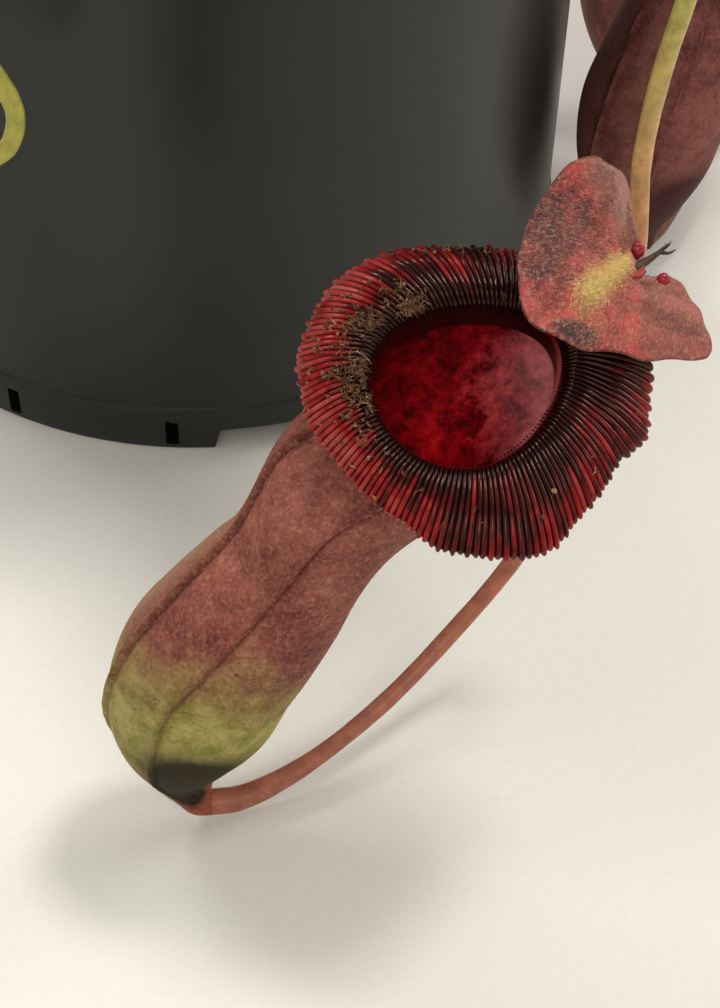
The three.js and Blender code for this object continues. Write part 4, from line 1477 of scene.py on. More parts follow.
@dataclass
class Pitcher:
    """A hanging pitcher: a hollow winged cup, a ribbed lip and a heart-shaped lid."""

    name: str
    foot: tuple[float, float, float]
    turn: float
    size: float
    sway: float
    lean: float
    grade: Grade
    skin: CupSkin
    # where round the cup its painted flank shade lies, in degrees from the back, and how dark it is
    painted_flank_shade_angle: float = 262.0
    painted_flank_shade_share: float = 0.5
    cup_wall: float = 1.3
    mouth_back: float = 37.5
    mouth_side: float = -20.8
    mouth_up: float = 95.8
    mouth_rise: float = 4.6
    mouth_roll: float = -20.6
    mouth_radius: float = 15.4
    mouth_half_width: float = 12.4
    wing_angle: float = 30.0
    wing_proud: float = 1.0
    rim_offset: float = 2.7
    rim_depth: float = 3.5
    rim_band: float = 2.5
    flare_start: float = 0.55
    cup_hairs: int = 9000
    hinge_back: float = 35.5
    hinge_side: float = 1.6
    hinge_up: float = 7.6
    lid_open: float = 8.0
    lid_roll: float = 12.0
    lid_thick: float = 1.0

    def __post_init__(self) -> None:
        """Work out the frame of the mouth and the pitcher's own place."""
        self.frame = (Matrix.Translation(self.foot) @ Matrix.Rotation(math.radians(self.turn), 4, "Z")
                      @ Matrix.Rotation(math.radians(self.lean), 4, "Y") @ Matrix.Scale(self.size, 4))
        roll, rise = math.radians(self.mouth_roll * self.sway), math.radians(self.mouth_rise)
        self.middle = np.array([self.mouth_back, self.mouth_side * self.sway, self.mouth_up])
        self.back = np.array([math.cos(rise), 0, math.sin(rise)])
        self.normal = unit(np.array([-math.sin(rise) * math.cos(roll), math.sin(roll),
                                     math.cos(rise) * math.cos(roll)]))
        self.side = np.cross(self.normal, self.back)
        near = self.grade is Grade.NEAR
        self.sides = 256 if near else 96
        self.ribs = 138 if near else 90
        self.rng = np.random.default_rng(sum(map(ord, self.name)))

    def at_mouth(self, back: Values, side: Values, up: Values) -> Array:
        """Place points that are given in the mouth's own directions.

        Args:
            back: distances from the mouth's middle towards its hinge.
            side: distances across.
            up: distances out of the mouth.
        Returns:
            The points in the pitcher's frame.
        """
        steps = np.stack(np.broadcast_arrays(back, side, up), -1)[..., None]
        return self.middle + (steps * [self.back, self.side, self.normal]).sum(-2)

    def mouth_edge(self, angle: Array, offset: float) -> tuple[Array, Array]:
        """Return the egg-shaped edge of the mouth.

        Args:
            angle: where on the edge, from the back.
            offset: how far outside it.
        Returns:
            The distances back and aside.
        """
        back = 3.2 + (self.mouth_radius + offset) * np.cos(angle)
        side = 1.5 + (self.mouth_half_width + offset) * np.sin(angle) * (1 - 0.2 * np.cos(angle))
        return back, side

    def foot_way(self) -> Array:
        """Return the direction in which the cup leaves its tendril.

        Returns:
            The unit direction, in the pitcher's frame.
        """
        return unit(np.array([-0.92, 0.39 * self.sway, 0.05]))

    def station_rings(self, inset: float) -> Array:
        """Return the rings of the cup below its flare.

        Args:
            inset: how far inside the skin they lie.
        Returns:
            The rings, (ring, column, 3).
        """
        middles = np.array([(b, s * self.sway, u) for b, s, u, _ in CUP_STATIONS])
        ways = [unit((middles[i + 1] if i < len(middles) - 1 else self.middle) - middles[max(0, i - 1)])
                for i in range(len(middles))]
        angle = full_turn(self.sides)
        rings = []
        for i, (*_, radius) in enumerate(CUP_STATIONS):
            way = ways[1] if i == 0 else ways[i]
            backward = unit(np.array([1.0, 0, 0]) - way * way[0])
            if i == 0:
                along = self.foot_way()
                turn = Vector(ways[1]).rotation_difference(Vector(along)).to_matrix()
                backward, way = np.array(turn) @ backward, along
            sideways = np.cross(way, backward)
            rings.append(middles[i] + (radius - inset) * (np.cos(angle)[:, None] * backward
                                                          + np.sin(angle)[:, None] * sideways))
        return np.stack(rings)

    def rim_ring(self, offset: float, depth: float) -> Array:
        """Return a ring of the cup's flared rim.

        Args:
            offset: how far outside the mouth's edge it lies.
            depth: how far below the mouth.
        Returns:
            One point for each column.
        """
        return self.at_mouth(*self.mouth_edge(full_turn(self.sides), offset), -depth)

    def build_cup(self) -> None:
        """Build the cup: the winged skin, the waxy lining inside and, close up, the down."""
        angle = np.linspace(0, 360, self.sides, endpoint=False)[None]
        plan = MeshPlan()
        outer, out = self.lay_skin(plan, angle)
        self.lay_lining(plan, angle, outer[-1])
        cup = plan.finish(f"{self.name}_winged_cup", [self.skin, CUP_LINING], self.frame)
        settle(cup, f"pitcher_{self.name}_cup")
        if self.grade is Grade.NEAR:
            self.build_cup_down(outer, out)

    def lay_skin(self, plan: MeshPlan, angle: Array) -> tuple[Array, Array]:
        """Add the cup's outside. The `level` counts the stations from the foot up.

        Args:
            plan: the mesh that receives it.
            angle: the columns, in degrees from the back.
        Returns:
            The skin's rows, and the outward direction at each of their points.
        """
        stations = self.station_rings(0)
        top = self.rim_ring(self.rim_offset, self.rim_depth + self.rim_band)
        crook = (stations[0] + stations[1]) / 2 + [-0.45, -0.02 * self.sway, -0.97]
        coarse = np.concatenate([stations[:1], crook[None], stations[1:],
                                 lerp(stations[-1], top, self.flare_start)[None], top[None],
                                 self.rim_ring(self.rim_offset, self.rim_depth)[None]])
        outer = refine(coarse, 12)
        numbers = np.concatenate([[0, 0.5], np.arange(1, len(coarse) - 1)])
        level = np.interp(np.linspace(0, len(coarse) - 1, len(outer)), np.arange(len(coarse)),
                          numbers)[:, None]
        out = unit(outer - outer.mean(axis=1, keepdims=True))
        drawn = smooth(1.2, 3.5, level) * (1 - smooth(9.8, 11.2, level))
        wings = [side * (self.wing_angle + 5 * np.sin(level * 0.9)) for side in (-1, 1)]
        ridge = sum(bell(180 - angle, line, 2.0) for line in wings) * drawn
        # the groove beside each wing: sunk into the skin, and painted dark as shade
        shaded_crease = sum(bell(180 - angle, line - 2.8, 1.5) for line in wings) * drawn
        ribbing = 0.16 * np.sin(np.radians(angle) * 7 + level * 0.5) * smooth(3, 6, level)
        lumps = 0.22 * np.sin(level * 2.3 + np.radians(angle) * 2) * smooth(2, 5, level)
        outer = outer + out * (self.wing_proud * ridge - 0.3 * shaded_crease + (ribbing + lumps)
                               * (1 - smooth(9.5, 11, level)))[..., None]
        wanders = 0.35 * np.sin(np.radians(angle) * 3 + 1.0)
        hook = 0.85 * bell(angle, 190, 24) * (1 - smooth(1.8, 4.2, level))
        # painted shadow on the underside by the foot, turned down towards the floor
        painted_underside_shadow = 1.8 * bell(angle, 243, 36) * smooth(0.55, 1.3, level) * (1 - smooth(3.7, 4.7, level))
        plan.grid(outer, {
            "green": 0.84 * (1 - smooth(3.0, 7.2, level + wanders - 1.5 * bell(angle, 248, 48))),
            "foot": np.maximum(1 - smooth(0.8, 2.2, level + wanders * 0.4), hook),
            # painted rim light, in the scurf colour, on the left flank of the body
            "painted_rim_light": 0.5 * bell(angle, 122, 19) * smooth(2, 4, level) * (1 - smooth(6.5, 9, level)),
            # painted shade on the flank turned from the light, darker higher up
            "painted_flank_shade": (self.painted_flank_shade_share * bell(angle, self.painted_flank_shade_angle, 34)
                     * (0.35 + 0.65 * smooth(4.5, 7.0, level))),
            "painted_underside_shadow": np.clip(painted_underside_shadow, 0, 0.95),
            # painted shade in the wing creases, with a darker wing line on the ridge
            "shaded_crease": np.clip(shaded_crease + ridge * 0.3, 0, 1) * (0.4 + 0.45 * smooth(3.5, 6.5, level)),
        }, caps=(True, False))
        return outer, out

    def lay_lining(self, plan: MeshPlan, angle: Array, rim: Array) -> None:
        """Add the hollow's wall, and the narrow band that joins it to the skin.

        Args:
            plan: the mesh that receives it.
            angle: the columns, in degrees from the back.
            rim: the last row of the skin.
        """
        inner = self.station_rings(self.cup_wall)[3:]
        offset = self.rim_offset - self.cup_wall
        mouth = self.rim_ring(offset, self.rim_depth + self.rim_band)
        lining = refine(np.concatenate([inner, lerp(inner[-1], mouth, self.flare_start)[None], mouth[None],
                                        self.rim_ring(offset, self.rim_depth)[None]]), 10)[::-1]
        depth = np.linspace(0, 1, len(lining))[:, None]
        # the pale bloom towards the right wall near the mouth: partly wax, partly painted sheen
        to_right = 0.5 + 0.5 * np.cos(np.radians(angle + 38))
        # painted shade: on one side wall near the mouth, under the near rim, and deep in the throat
        shade = (0.82 * bell(angle, 84, 56) * (1 - smooth(0.16, 0.46, depth))
                 + 0.6 * bell(angle, 180, 80) * (1 - smooth(0.03, 0.1, depth))
                 + 0.6 * smooth(0.84, 1.0, depth))
        plan.grid(lining, {"waxy_bloom_and_sheen": 0.9 * smooth(0.45, 1.0, to_right) * (1 - smooth(0.04, 0.29, depth)),
                           "shade": np.clip(shade, 0, 0.95)}, caps=(False, True), slot=1)
        plan.grid(np.stack([rim, lining[0]]), {}, slot=1)

    def build_cup_down(self, outer: Array, out: Array) -> None:
        """Stand short down on the cup's skin.

        Args:
            outer: the skin's rows.
            out: the outward direction at each of their points.
        """
        count = self.cup_hairs
        i = self.rng.integers(14, len(outer) - 14, count)
        j = self.rng.integers(0, self.sides, count)
        lifts = out[i, j]
        ways = unit(lifts * 0.3 + unit(outer[i + 1, j] - outer[i, j]) * 0.9
                    + self.rng.normal(0, 0.3, (count, 3)))
        plan = MeshPlan()
        strands(plan, outer[i, j] - lifts * 0.04, ways, lifts, self.rng.uniform(0.18, 0.4, count),
                self.rng.uniform(0.02, 0.034, count), self.rng.uniform(0, 1, count))
        settle(plan.finish(f"{self.name}_cup_down", [CUP_DOWN], self.frame), None)

    def lip_reach(self, degrees: Array) -> Array:
        """Return the lip's reach from the mouth's middle.

        Args:
            degrees: directions from the back, from 0 to 360.
        Returns:
            The reach in each.
        """
        turn = np.where(degrees > 180, degrees - 360, degrees)
        places, values = np.array(LIP_REACH).T
        k = np.clip(np.searchsorted(places, turn) - 1, 0, len(places) - 2)
        t = (turn - places[k]) / (places[k + 1] - places[k])
        return lerp(values[k], values[k + 1], t * t * (3 - 2 * t))

    def lip_surface(self, angle: Array, ridge: Array) -> Array:
        """Return the lip's skin.

        Args:
            angle: where each column stands round the mouth, in radians.
            ridge: 1 on a rib's crest, 0 in a groove.
        Returns:
            Its points, (section, column, 3).
        """
        degrees = np.degrees(angle) % 360
        at_back = 1 - smooth(8, 32, np.minimum(degrees, 360 - degrees))
        edge_back, edge_side = self.mouth_edge(angle, 0)
        reach = self.lip_reach(degrees)
        out = np.stack([reach * np.cos(angle) - edge_back, reach * np.sin(angle) - edge_side])
        width = np.linalg.norm(out, axis=0)
        out /= width
        flounce = 0.7 * np.sin(angle * 5 + 0.6) * smooth(120, 60, 180 - np.abs(degrees - 180))
        rows = []
        for i, (distance, share, at_sides, at_rear, rib) in enumerate(LIP_SECTION):
            tooth = ridge ** 3 * (0.75 if i == OUTER_EDGE else 0.25 if i == OUTER_EDGE + 1 else 0)
            run = distance + share * width + tooth
            height = lerp(at_sides, at_rear, at_back) + (ridge - 0.5) * rib * 1.15
            if i <= OUTER_EDGE + 1:
                height = height + flounce * share
            rows.append(np.stack([edge_back + out[0] * run, edge_side + out[1] * run, height], -1))
        fine = refine(np.stack(rows), 5 if self.grade is Grade.NEAR else 3)
        return self.at_mouth(fine[..., 0], fine[..., 1], fine[..., 2])

    def build_lip(self) -> None:
        """Build the lip: one rounded rib after another, a fang inside and a tooth outside on each."""
        across = RIB_ACROSS[self.grade]
        sway = self.rng.normal(0, 0.09, self.ribs)
        angle, ridge, number = np.array([
            ((k + off + sway[k] * (1 - 2 * abs(off))) * 2 * math.pi / self.ribs,
             high * (1 + 0.12 * math.sin(k * 2.7)), k + 0.5 * (off == -0.5))
            for k in range(self.ribs) for off, high in across]).T
        rows = np.transpose(self.lip_surface(angle, ridge), (1, 0, 2))
        section = np.linspace(0, len(LIP_SECTION) - 1, rows.shape[1])[None]
        left = 0.5 - 0.5 * np.cos(angle + 0.25)[:, None]
        to_left = bell(np.degrees(angle) % 360, 96, 34)[:, None]
        flush = (0.33 * smooth(2.2, 4.2, section) * smooth(0.55, 1, left) + 0.04 * smooth(2.6, 4.5, section)
                 + 0.26 * smooth(2.4, 4.0, section) * to_left - 0.4 * (1 - smooth(1.6, 2.9, section)))
        plan = MeshPlan()
        plan.grid(rows, {"rib": number[:, None] * 3.1, "reach": section * 0.35, "ridge": ridge[:, None],
                         "flush": flush}, loop=True)
        self.add_fangs(plan)
        lip = plan.finish(f"{self.name}_ribbed_lip", [LIP_WAX], self.frame)
        settle(lip, f"pitcher_{self.name}_lip")

    def add_fangs(self, plan: MeshPlan) -> None:
        """Hang a small pointed tooth from the inner end of each rib.

        Args:
            plan: the lip's mesh.
        """
        angle = full_turn(self.ribs)
        roots = self.at_mouth(*self.mouth_edge(angle, 0.3), -1.0)
        tips = self.at_mouth(*self.mouth_edge(angle, -1.0), -2.4)
        to_right = 0.85 * bell((np.degrees(angle) + 60) % 360, 20, 42)
        strands(plan, roots, unit(tips - roots), np.tile(-self.normal, (self.ribs, 1)),
                0.45 + 0.7 * to_right, np.full(self.ribs, 0.2), np.ones(self.ribs), bend=0.4,
                marks={"ridge": np.ones(1), "flush": to_right[:, None] - 0.1})

    def lid_point(self, along: Values, across: Values, lift: Values) -> Array:
        """Place points of the lid.

        Args:
            along: distances from the stalk towards the tip.
            across: distances across.
            lift: heights over the blade.
        Returns:
            The points in the pitcher's frame.
        """
        opened = math.radians(self.lid_open)
        aside = np.abs(across)
        fold = (0.42 * np.maximum(0, aside - 3) * (1 - smooth(0, 8, along))
                - 0.5 * np.maximum(0, -along) * smooth(3, 9, aside))
        crown = 1.6 * np.sin(math.pi * np.clip(along / LID_LENGTH, 0, 1))
        vault = crown - 0.012 * across ** 2 * smooth(-3, 8, along)
        rise = lift + vault + fold + math.tan(math.radians(self.lid_roll)) * across
        back = self.hinge_back - along * math.cos(opened) + rise * math.sin(opened)
        up = self.hinge_up + along * math.sin(opened) + rise * math.cos(opened)
        return self.at_mouth(back, self.hinge_side + across, up)

    def lid_outline(self, count: int) -> Array:
        """Return the smooth outline of the lid's blade.

        Args:
            count: how many points.
        Returns:
            The points, as (along, across).
        """
        ring = np.vstack([LID_OUTLINE, LID_OUTLINE[:1]])
        dense = spline(np.column_stack([ring, np.zeros(len(ring))]), 16)
        points, _ = evenly(dense, count + 1)
        return points[:-1, :2]

    def build_lid(self) -> None:
        """Build the lid with its spur, its down and, close up, its nectar."""
        self.build_blade()
        self.build_spur()
        self.build_lid_down()
        if self.grade is Grade.NEAR:
            self.build_beads()

    def build_blade(self) -> None:
        """Build the lid's blade and its neck."""
        count, layers = (200, 40) if self.grade is Grade.NEAR else (90, 14)
        share = np.linspace(0.02, 1, layers)[:, None]
        along, across = np.moveaxis(LID_HUB + (self.lid_outline(count)[None] - LID_HUB) * share[..., None],
                                    -1, 0)
        wave = 0.35 * np.sin(np.arange(count) * 0.31)[None] * share ** 4
        dimple = 0.18 * np.sin(along * 0.9) * np.cos(across * 0.8) + 0.5 * bell(across, 0, 1.6) * (
            smooth(0, 4, along) * (1 - smooth(14, 20, along)))
        top = self.lid_point(along, across, wave + dimple)
        under = self.lid_point(along, across,
                               wave + dimple * 0.4 - self.lid_thick * (1 - 0.45 * share ** 6))
        heart = bell(across, 2.2 - 0.22 * along, 2.8 + 0.2 * along)
        down_rim = (along - 18.4) * 0.75 + (across + 5.2) * 0.66
        off_rim = (along - 18.4) * 0.66 - (across + 5.2) * 0.75
        notch = along - 0.4 * np.maximum(0, 2 - across)
        marks = {"heart": 0.6 * heart * smooth(0, 4, along) * (1 - smooth(12, 25, along)),
                 "bruise": np.maximum(0.85 * bell(down_rim, 0, 5.0) * bell(off_rim, 0, 2.2),
                                      0.5 * smooth(0.955, 1, share)),
                 # painted sheen on the strip behind the notch, which faces the key light
                 "sheen": (1 - smooth(0.4, 4.6, notch)) * (0.75 - 0.35 * smooth(2, -6, across)),
                 "wine": 0.16 * smooth(1, 9, across) * smooth(3, 8, along) - 0.03,
                 "fan": np.arctan2(across, along + 6) * 46, "run": np.hypot(along + 6, across) * 1.3}
        plan = MeshPlan()
        plan.grid(top[:, ::-1], {k: v[:, ::-1] for k, v in marks.items()}, caps=(True, False))
        plan.grid(under, marks, caps=(True, False))
        plan.grid(np.stack([top[-1], under[-1]])[:, ::-1], {k: v[-1, ::-1] for k, v in marks.items()})
        neck = self.at_mouth(self.hinge_back - 3.5, self.hinge_side * 0.5, 5.1 + GAP)
        tube(plan, np.stack([neck, neck + self.normal * 0.9, self.lid_point(3.4, 0.0, -0.4)]),
             Taper(1.5, 0.6), 24, 10)
        lid = plan.finish(f"{self.name}_heart_lid", [LID_SKIN], self.frame)
        settle(lid, f"pitcher_{self.name}_lid")

    def build_spur(self) -> None:
        """Build the dry, forked spur behind the lid."""
        foot = self.lid_point(3.0, 0.0, -0.6)
        tip = self.at_mouth(self.hinge_back + 4.2, self.hinge_side + 0.2, self.hinge_up + 1.6)
        bend = lerp(foot, tip, 0.5) - self.normal * 0.8
        spur = MeshPlan()
        tube(spur, np.stack([foot, bend, tip]), Taper(1.0, -0.8, 0.8), 14, 18)
        stub = lerp(bend, tip, 0.45)
        tube(spur, np.stack([stub, stub + self.back * 1.2 - self.side * 0.9,
                             stub + self.back * 2.6 - self.side]), Taper(0.4, -0.3), 10, 8)
        prongs = 16
        fork = unit(self.back * 0.8 + self.normal * 0.3)
        strands(spur, lerp(bend, tip, np.linspace(0.2, 1, prongs)[:, None]),
                unit(fork + self.rng.normal(0, 0.6, (prongs, 3))), np.tile(self.normal, (prongs, 1)),
                self.rng.uniform(0.5, 1.2, prongs), np.full(prongs, 0.07), np.ones(prongs))
        settle(spur.finish(f"{self.name}_lid_spur", [SPUR_BARK], self.frame), None)

    def build_lid_down(self) -> None:
        """Lay pale down over the lid, combed away from its stalk."""
        count = 13000 if self.grade is Grade.NEAR else 900
        outline = self.lid_outline(240)
        pick = self.rng.integers(0, len(outline), count)
        share = np.sqrt(self.rng.uniform(0.0, 0.9, count))[:, None]
        along, across = (LID_HUB + (outline[pick] - LID_HUB) * share).T
        root = self.lid_point(along, across, 0.02)
        comb = unit(np.column_stack([along + 3.0, across * 1.2, np.zeros(count)]))
        comb = unit(comb + self.rng.normal(0, 0.35, (count, 3)) * [1, 1, 0])
        ahead = self.lid_point(along + comb[:, 0] * 0.6, across + comb[:, 1] * 0.6, 0.07)
        patch = 0.5 + 0.5 * np.sin(along * 0.7 + across * 0.45) * np.cos(across * 0.55 - along * 0.2)
        tone = np.clip(self.rng.uniform(0, 1, count) * 0.7 + 0.45 * patch, 0, 1)
        plan = MeshPlan()
        strands(plan, root, unit(ahead - root), np.tile(self.normal, (count, 1)),
                self.rng.uniform(0.3, 0.75, count), self.rng.uniform(0.02, 0.036, count), tone, bend=0.06)
        settle(plan.finish(f"{self.name}_lid_down", [LID_DOWN], self.frame), None)

    def build_beads(self) -> None:
        """Add the two glossy nectar beads where the lip's ends meet below the lid's stalk."""
        points, faces = ball(3, 1.0)
        plan = MeshPlan()
        plan.copies(np.stack([self.at_mouth(back, side, up) + points * radius * [1, 0.86, 1.15]
                              for back, side, up, radius in NECTAR_BEADS]), {}, faces)
        settle(plan.finish(f"{self.name}_nectar_beads", [NECTAR_BEAD], self.frame), None)

    def build_crumbs(self) -> None:
        """Drop dried moss and peat on the lip, thick at one side and sparse round the rest."""
        angle, share = [], []
        for middle, spread, count, level, width in MOSS_SPOTS:
            angle.append(np.radians(middle + self.rng.normal(0, spread * 0.5, count)))
            share.append(np.clip(level + np.abs(self.rng.normal(0, width, count)), 1.2, 4.7))
        angle, share = np.concatenate(angle) % (2 * math.pi), np.concatenate(share)
        count = len(angle)
        rows = self.lip_surface(angle, np.full(count, 0.9))
        place = share / (len(LIP_SECTION) - 1) * (len(rows) - 1)
        low = place.astype(int)
        columns = np.arange(count)
        seat = lerp(rows[low, columns], rows[low + 1, columns], (place - low)[:, None])
        forms, faces = crumb_forms(self.rng, count)
        size = self.rng.uniform(0.2, 0.62, (count, 1, 1)) * self.rng.uniform(0.35, 2.0, (count, 1, 3))
        lumps = np.einsum("nij,npj->npi", scatter_turns(self.rng, count), forms * size)
        plan = MeshPlan()
        plan.copies(lumps + (seat + self.normal * 0.12)[:, None],
                    {"tone": self.rng.uniform(0, 1, (count, 1))}, faces)
        ways = unit(self.rng.normal(0, 1, (count, 3)))
        ways = unit(ways + self.normal * np.maximum(0, 0.25 - ways @ self.normal)[:, None] * 2)
        for bend in (1.1, -0.9, 0.7):
            curl = unit(np.cross(ways, self.rng.normal(0, 1, (count, 3))))
            strands(plan, seat + self.normal * 0.15, unit(ways * [1, 1, 0.6]), curl,
                    self.rng.uniform(0.3, 1.3, count), self.rng.uniform(0.06, 0.2, count),
                    self.rng.uniform(0, 1, count), bend=bend)
            ways = unit(self.rng.normal(0, 1, (count, 3)) + self.normal * 0.35)
        crumbs = plan.finish(f"{self.name}_moss_crumbs", [DRY_MOSS], self.frame)
        settle(crumbs, None)

    def build(self) -> None:
        """Build the whole pitcher."""
        self.build_cup()
        self.build_lip()
        self.build_lid()
        if self.grade is Grade.NEAR:
            self.build_crumbs()

    def tendril_end(self) -> Array:
        """Return where the tendril arrives.

        Returns:
            Its last two points, in the plant's frame.
        """
        way = Vector(self.foot_way())
        return np.array([(self.frame @ (way * (off / self.size)))[:] for off in (-5.5, -0.05)])


PITCHERS = (
    Pitcher("front", (7.1, -168.1, 4.2), 35.3, 1, 1, 0, Grade.NEAR, CUP_SKIN),
    Pitcher("right", (95.5, -14, 4), 62, 0.98, 0.4, -6, Grade.FAR, SHADED_CUP_SKIN, 130.0, 0.95),
    Pitcher("back_right", (96, 40, 4), 75, 0.9, 0.3, 2, Grade.FAR, ROSE_CUP_SKIN),
    Pitcher("back_left", (-50, 115, 4), 200, 0.95, -0.6, 2, Grade.FAR, CUP_SKIN),
    Pitcher("left", (-127, -108, 4), 100, 0.86, 0.5, 2, Grade.FAR, CUP_SKIN),
)


# ---- tendrils and young growth
@dataclass
class Tendril:
    """A tendril that runs on from a leaf's tip, to a pitcher's foot or to a bud."""

    node: str
    leaf: str
    route: tuple[tuple[float, float, float], ...]
    radius: float
    finish: TendrilSkin
    slot: str = "tendril_tan"
    pitcher: str | None = None
    bud_length: float = 0.0
    sides: int = 28

    def build(self, start: Array, end: Array | None, spread: float) -> None:
        """Build the tendril.

        Args:
            start: its first two points, square to the leaf's tip.
            end: its last two points, square to the pitcher's foot, or None.
            spread: how much thicker it gets at its end.
        """
        points = np.vstack([start, np.array(self.route, float)] + ([end] if end is not None else []))

        def width(t: Array) -> Array:
            """Return the radius, a little uneven as grown things are.

            Args:
                t: shares of the length.
            Returns:
                The radius at each.
            """
            grown = self.radius * (1.25 - 0.25 * smooth(0, 0.12, t)) + spread * smooth(0.9, 1, t)
            return grown * (1 + 0.012 * np.sin(t * 90) + 0.01 * np.sin(t * 231))

        plan = MeshPlan()
        tube(plan, points, width, self.sides, 60 + 24 * len(self.route))
        settle(plan.finish(f"{self.node}_skin", [self.finish]), self.node)

    def build_bud(self, node: str) -> None:
        """Build the closed young pitcher on the tendril's end.

        Args:
            node: the solid that it stands for.
        """
        before, tip = np.array(self.route[-2:], float)
        way = unit(tip - before)
        length = self.bud_length
        points = [tip + way * (GAP + 0.1) + unit(lerp(way, UP, 0.9 * t * t)) * length * t
                  for t in (0, 0.1, 0.3, 0.6, 1)]

        def girth(t: Array) -> Array:
            """Return the bud's radius: a slim bag with a pinched tip.

            Args:
                t: shares of the length.
            Returns:
                The radius at each.
            """
            bag = 0.14 * length * np.sin(math.pi * t ** 0.8).clip(0) * (1 - 0.35 * t)
            return 1.7 + bag - 0.9 * smooth(0.9, 1, t)

        plan = MeshPlan()
        tube(plan, np.array(points), girth, 36, 48)
        settle(plan.finish(f"{node}_bud", [YOUNG_CUP]), node)


TENDRILS = (
    Tendril("pitcher_front_tendril", "front_right",
            ((93, -116, 176), (86, -121, 157), (83.7, -123.1, 145), (81.6, -122.3, 133), (80, -122, 121),
             (79.3, -122.3, 111), (79.4, -125.6, 100), (78.8, -125.6, 79), (73.9, -128.9, 56),
             (61.7, -133.6, 31), (51.9, -138.9, 19), (37.4, -150, 9), (23, -161.3, 5.2)),
            1.6, HERO_TENDRIL, pitcher="front"),
    Tendril("pitcher_right_tendril", "right",
            ((158, -12, 158), (163, -6, 120), (161, 6, 82), (152, 26, 50), (136, 42, 24), (116, 22, 7)),
            1.6, TENDRIL, pitcher="right"),
    Tendril("pitcher_back_right_tendril", "back_right",
            ((122, 104, 164), (132, 108, 122), (136, 104, 78), (132, 88, 36), (120, 68, 12), (107, 54, 5)),
            1.5, TENDRIL, pitcher="back_right"),
    Tendril("pitcher_back_left_tendril", "back_left",
            ((-124, 86, 180), (-129, 90, 150), (-129, 90, 112), (-126, 90, 80), (-118, 94, 48),
             (-98, 101, 20), (-74, 108, 8)), 1.5, TENDRIL, pitcher="back_left"),
    Tendril("pitcher_left_tendril", "left",
            ((-142, -25, 180), (-147, -27, 150), (-145, -29, 110), (-142, -30, 78), (-138, -44, 44),
             (-133, -67, 18), (-129, -90, 8)), 1.5, TENDRIL, pitcher="left"),
    Tendril("young_tendril_front_left", "front_left",
            ((-62, -92, 168), (-44, -94, 142), (-34.5, -94, 123), (-29, -94, 111), (-25.4, -94, 100),
             (-28.1, -94, 92), (-35, -94, 89.5), (-44, -93, 93)), 1.7, YOUNG_TENDRIL, "young_green",
            bud_length=15),
    Tendril("young_tendril_back", "back",
            ((2, 158, 170), (8, 162, 138), (12, 158, 100), (14, 148, 66), (18, 138, 50), (26, 132, 50)),
            1.4, YOUNG_TENDRIL, "young_green", bud_length=30),
    Tendril("young_tendril_front", "front", ((6, -112, 216), (10, -116, 206)), 1.1, YOUNG_TENDRIL,
            "young_green"),
)


# ---- studio
@dataclass(frozen=True)
class Softbox:
    """A soft lamp: the way to it from the plant, its distance and size in metres, and its light."""

    name: str
    way: tuple[float, float, float]
    distance: float
    size: tuple[float, float]
    power: float
    colour: str = "#ffffff"

    def hang(self, target: Vector) -> None:
        """Hang the lamp so that it faces the plant.

        Args:
            target: the place that it faces.
        """
        light = bpy.data.lights.new(self.name, "AREA")
        light.shape = "RECTANGLE"
        light.size, light.size_y = self.size
        light.energy = self.power
        light.color = linear(self.colour)[:3]
        lamp = put(self.name, light)
        lamp.location = target + Vector(self.way).normalized() * self.distance
        lamp.rotation_euler = (lamp.location - target).to_track_quat("Z", "Y").to_euler()


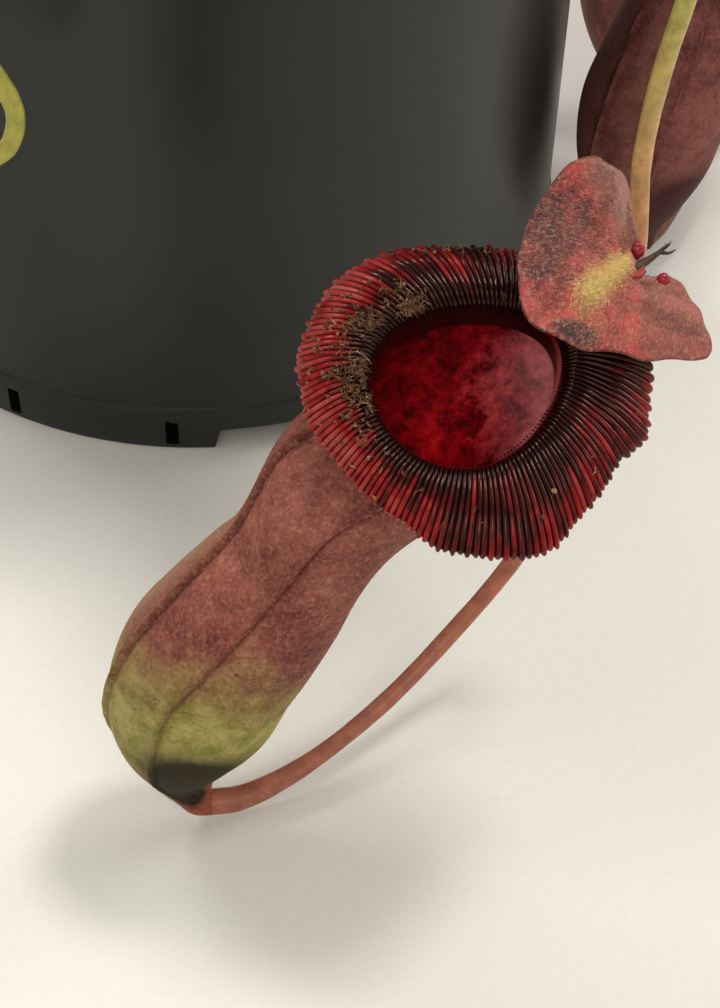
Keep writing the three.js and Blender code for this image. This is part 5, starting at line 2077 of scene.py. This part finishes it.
@dataclass
class Studio:
    """A pale floor and room, a high key, four large fills round the plant, and the camera."""

    camera_mm: tuple[float, float, float] = (33.8, -476.2, 399.6)
    camera_tilt: float = 44.0
    lens: float = 100.0
    floor_half: float = 4.0
    target: tuple[float, float, float] = (0.03, -0.1, 0.05)
    lamps: tuple[Softbox, ...] = (
        Softbox("key_softbox", (0.31, 0.15, 0.94), 2.4, (0.42, 0.42), 20.5, "#fffaf5"),
        Softbox("right_softbox", (1.0, 0.6, 0.5), 3.2, (2.0, 1.8), 32.0),
        Softbox("top_strip", (-0.35, 0.55, 0.76), 3.0, (1.9, 0.4), 36.0),
        Softbox("left_softbox", (-1.0, -0.5, 0.3), 3.4, (1.3, 1.6), 8.0),
        Softbox("front_softbox", (0.1, -0.8, 0.7), 2.6, (1.5, 1.0), 17.0, "#fffcf6"))
    room: str = "#f3efe6"
    room_strength: float = 0.48

    def floor(self) -> None:
        """Lay the paper floor just under the pot's feet."""
        bm = bmesh.new()
        bmesh.ops.create_grid(bm, x_segments=1, y_segments=1, size=self.floor_half)
        mesh = mesh_of(bm, "paper_floor")
        mesh.materials.append(PAPER.material())
        floor = put("paper_floor", mesh)

    def build(self) -> None:
        """Set the floor, the lights, the room and the camera."""
        self.floor()
        for lamp in self.lamps:
            lamp.hang(Vector(self.target))
        world = bpy.data.worlds.new("pale_room")
        world.use_nodes = True
        backdrop = world.node_tree.nodes["Background"]
        backdrop.inputs["Color"].default_value = linear(self.room)
        backdrop.inputs["Strength"].default_value = self.room_strength
        scene = bpy.context.scene
        scene.world = world
        camera = bpy.data.cameras.new("portrait_camera")
        camera.lens = self.lens
        camera.sensor_width = 36.0
        camera.clip_start = 0.02
        view = put("portrait_camera", camera)
        view.location = Vector(self.camera_mm) * MM
        view.rotation_euler = (math.radians(self.camera_tilt), 0.0, 0.0)
        scene.camera = view
        scene.view_settings.view_transform = "Standard"


def main() -> None:
    """Build every piece in order."""
    logging.basicConfig(level=logging.INFO, format="%(message)s")
    Studio().build()
    pot = NurseryPot()
    pot.build()
    GrowingMix(pot).build()
    Stem().build()
    tips = {leaf.name: leaf.build() for leaf in LEAVES}
    for pitcher in PITCHERS:
        pitcher.build()
    pitchers = {pitcher.name: pitcher for pitcher in PITCHERS}
    for tendril in TENDRILS:
        carried = pitchers.get(tendril.pitcher)
        end = carried.tendril_end() if carried else None
        spread = TENDRIL_FOOT * carried.size - tendril.radius if carried else 0.0
        tendril.build(tips[tendril.leaf], end, spread)
        if tendril.bud_length:
            tendril.build_bud(tendril.node.replace("tendril", "pitcher"))


if __name__ == "__main__":
    main()
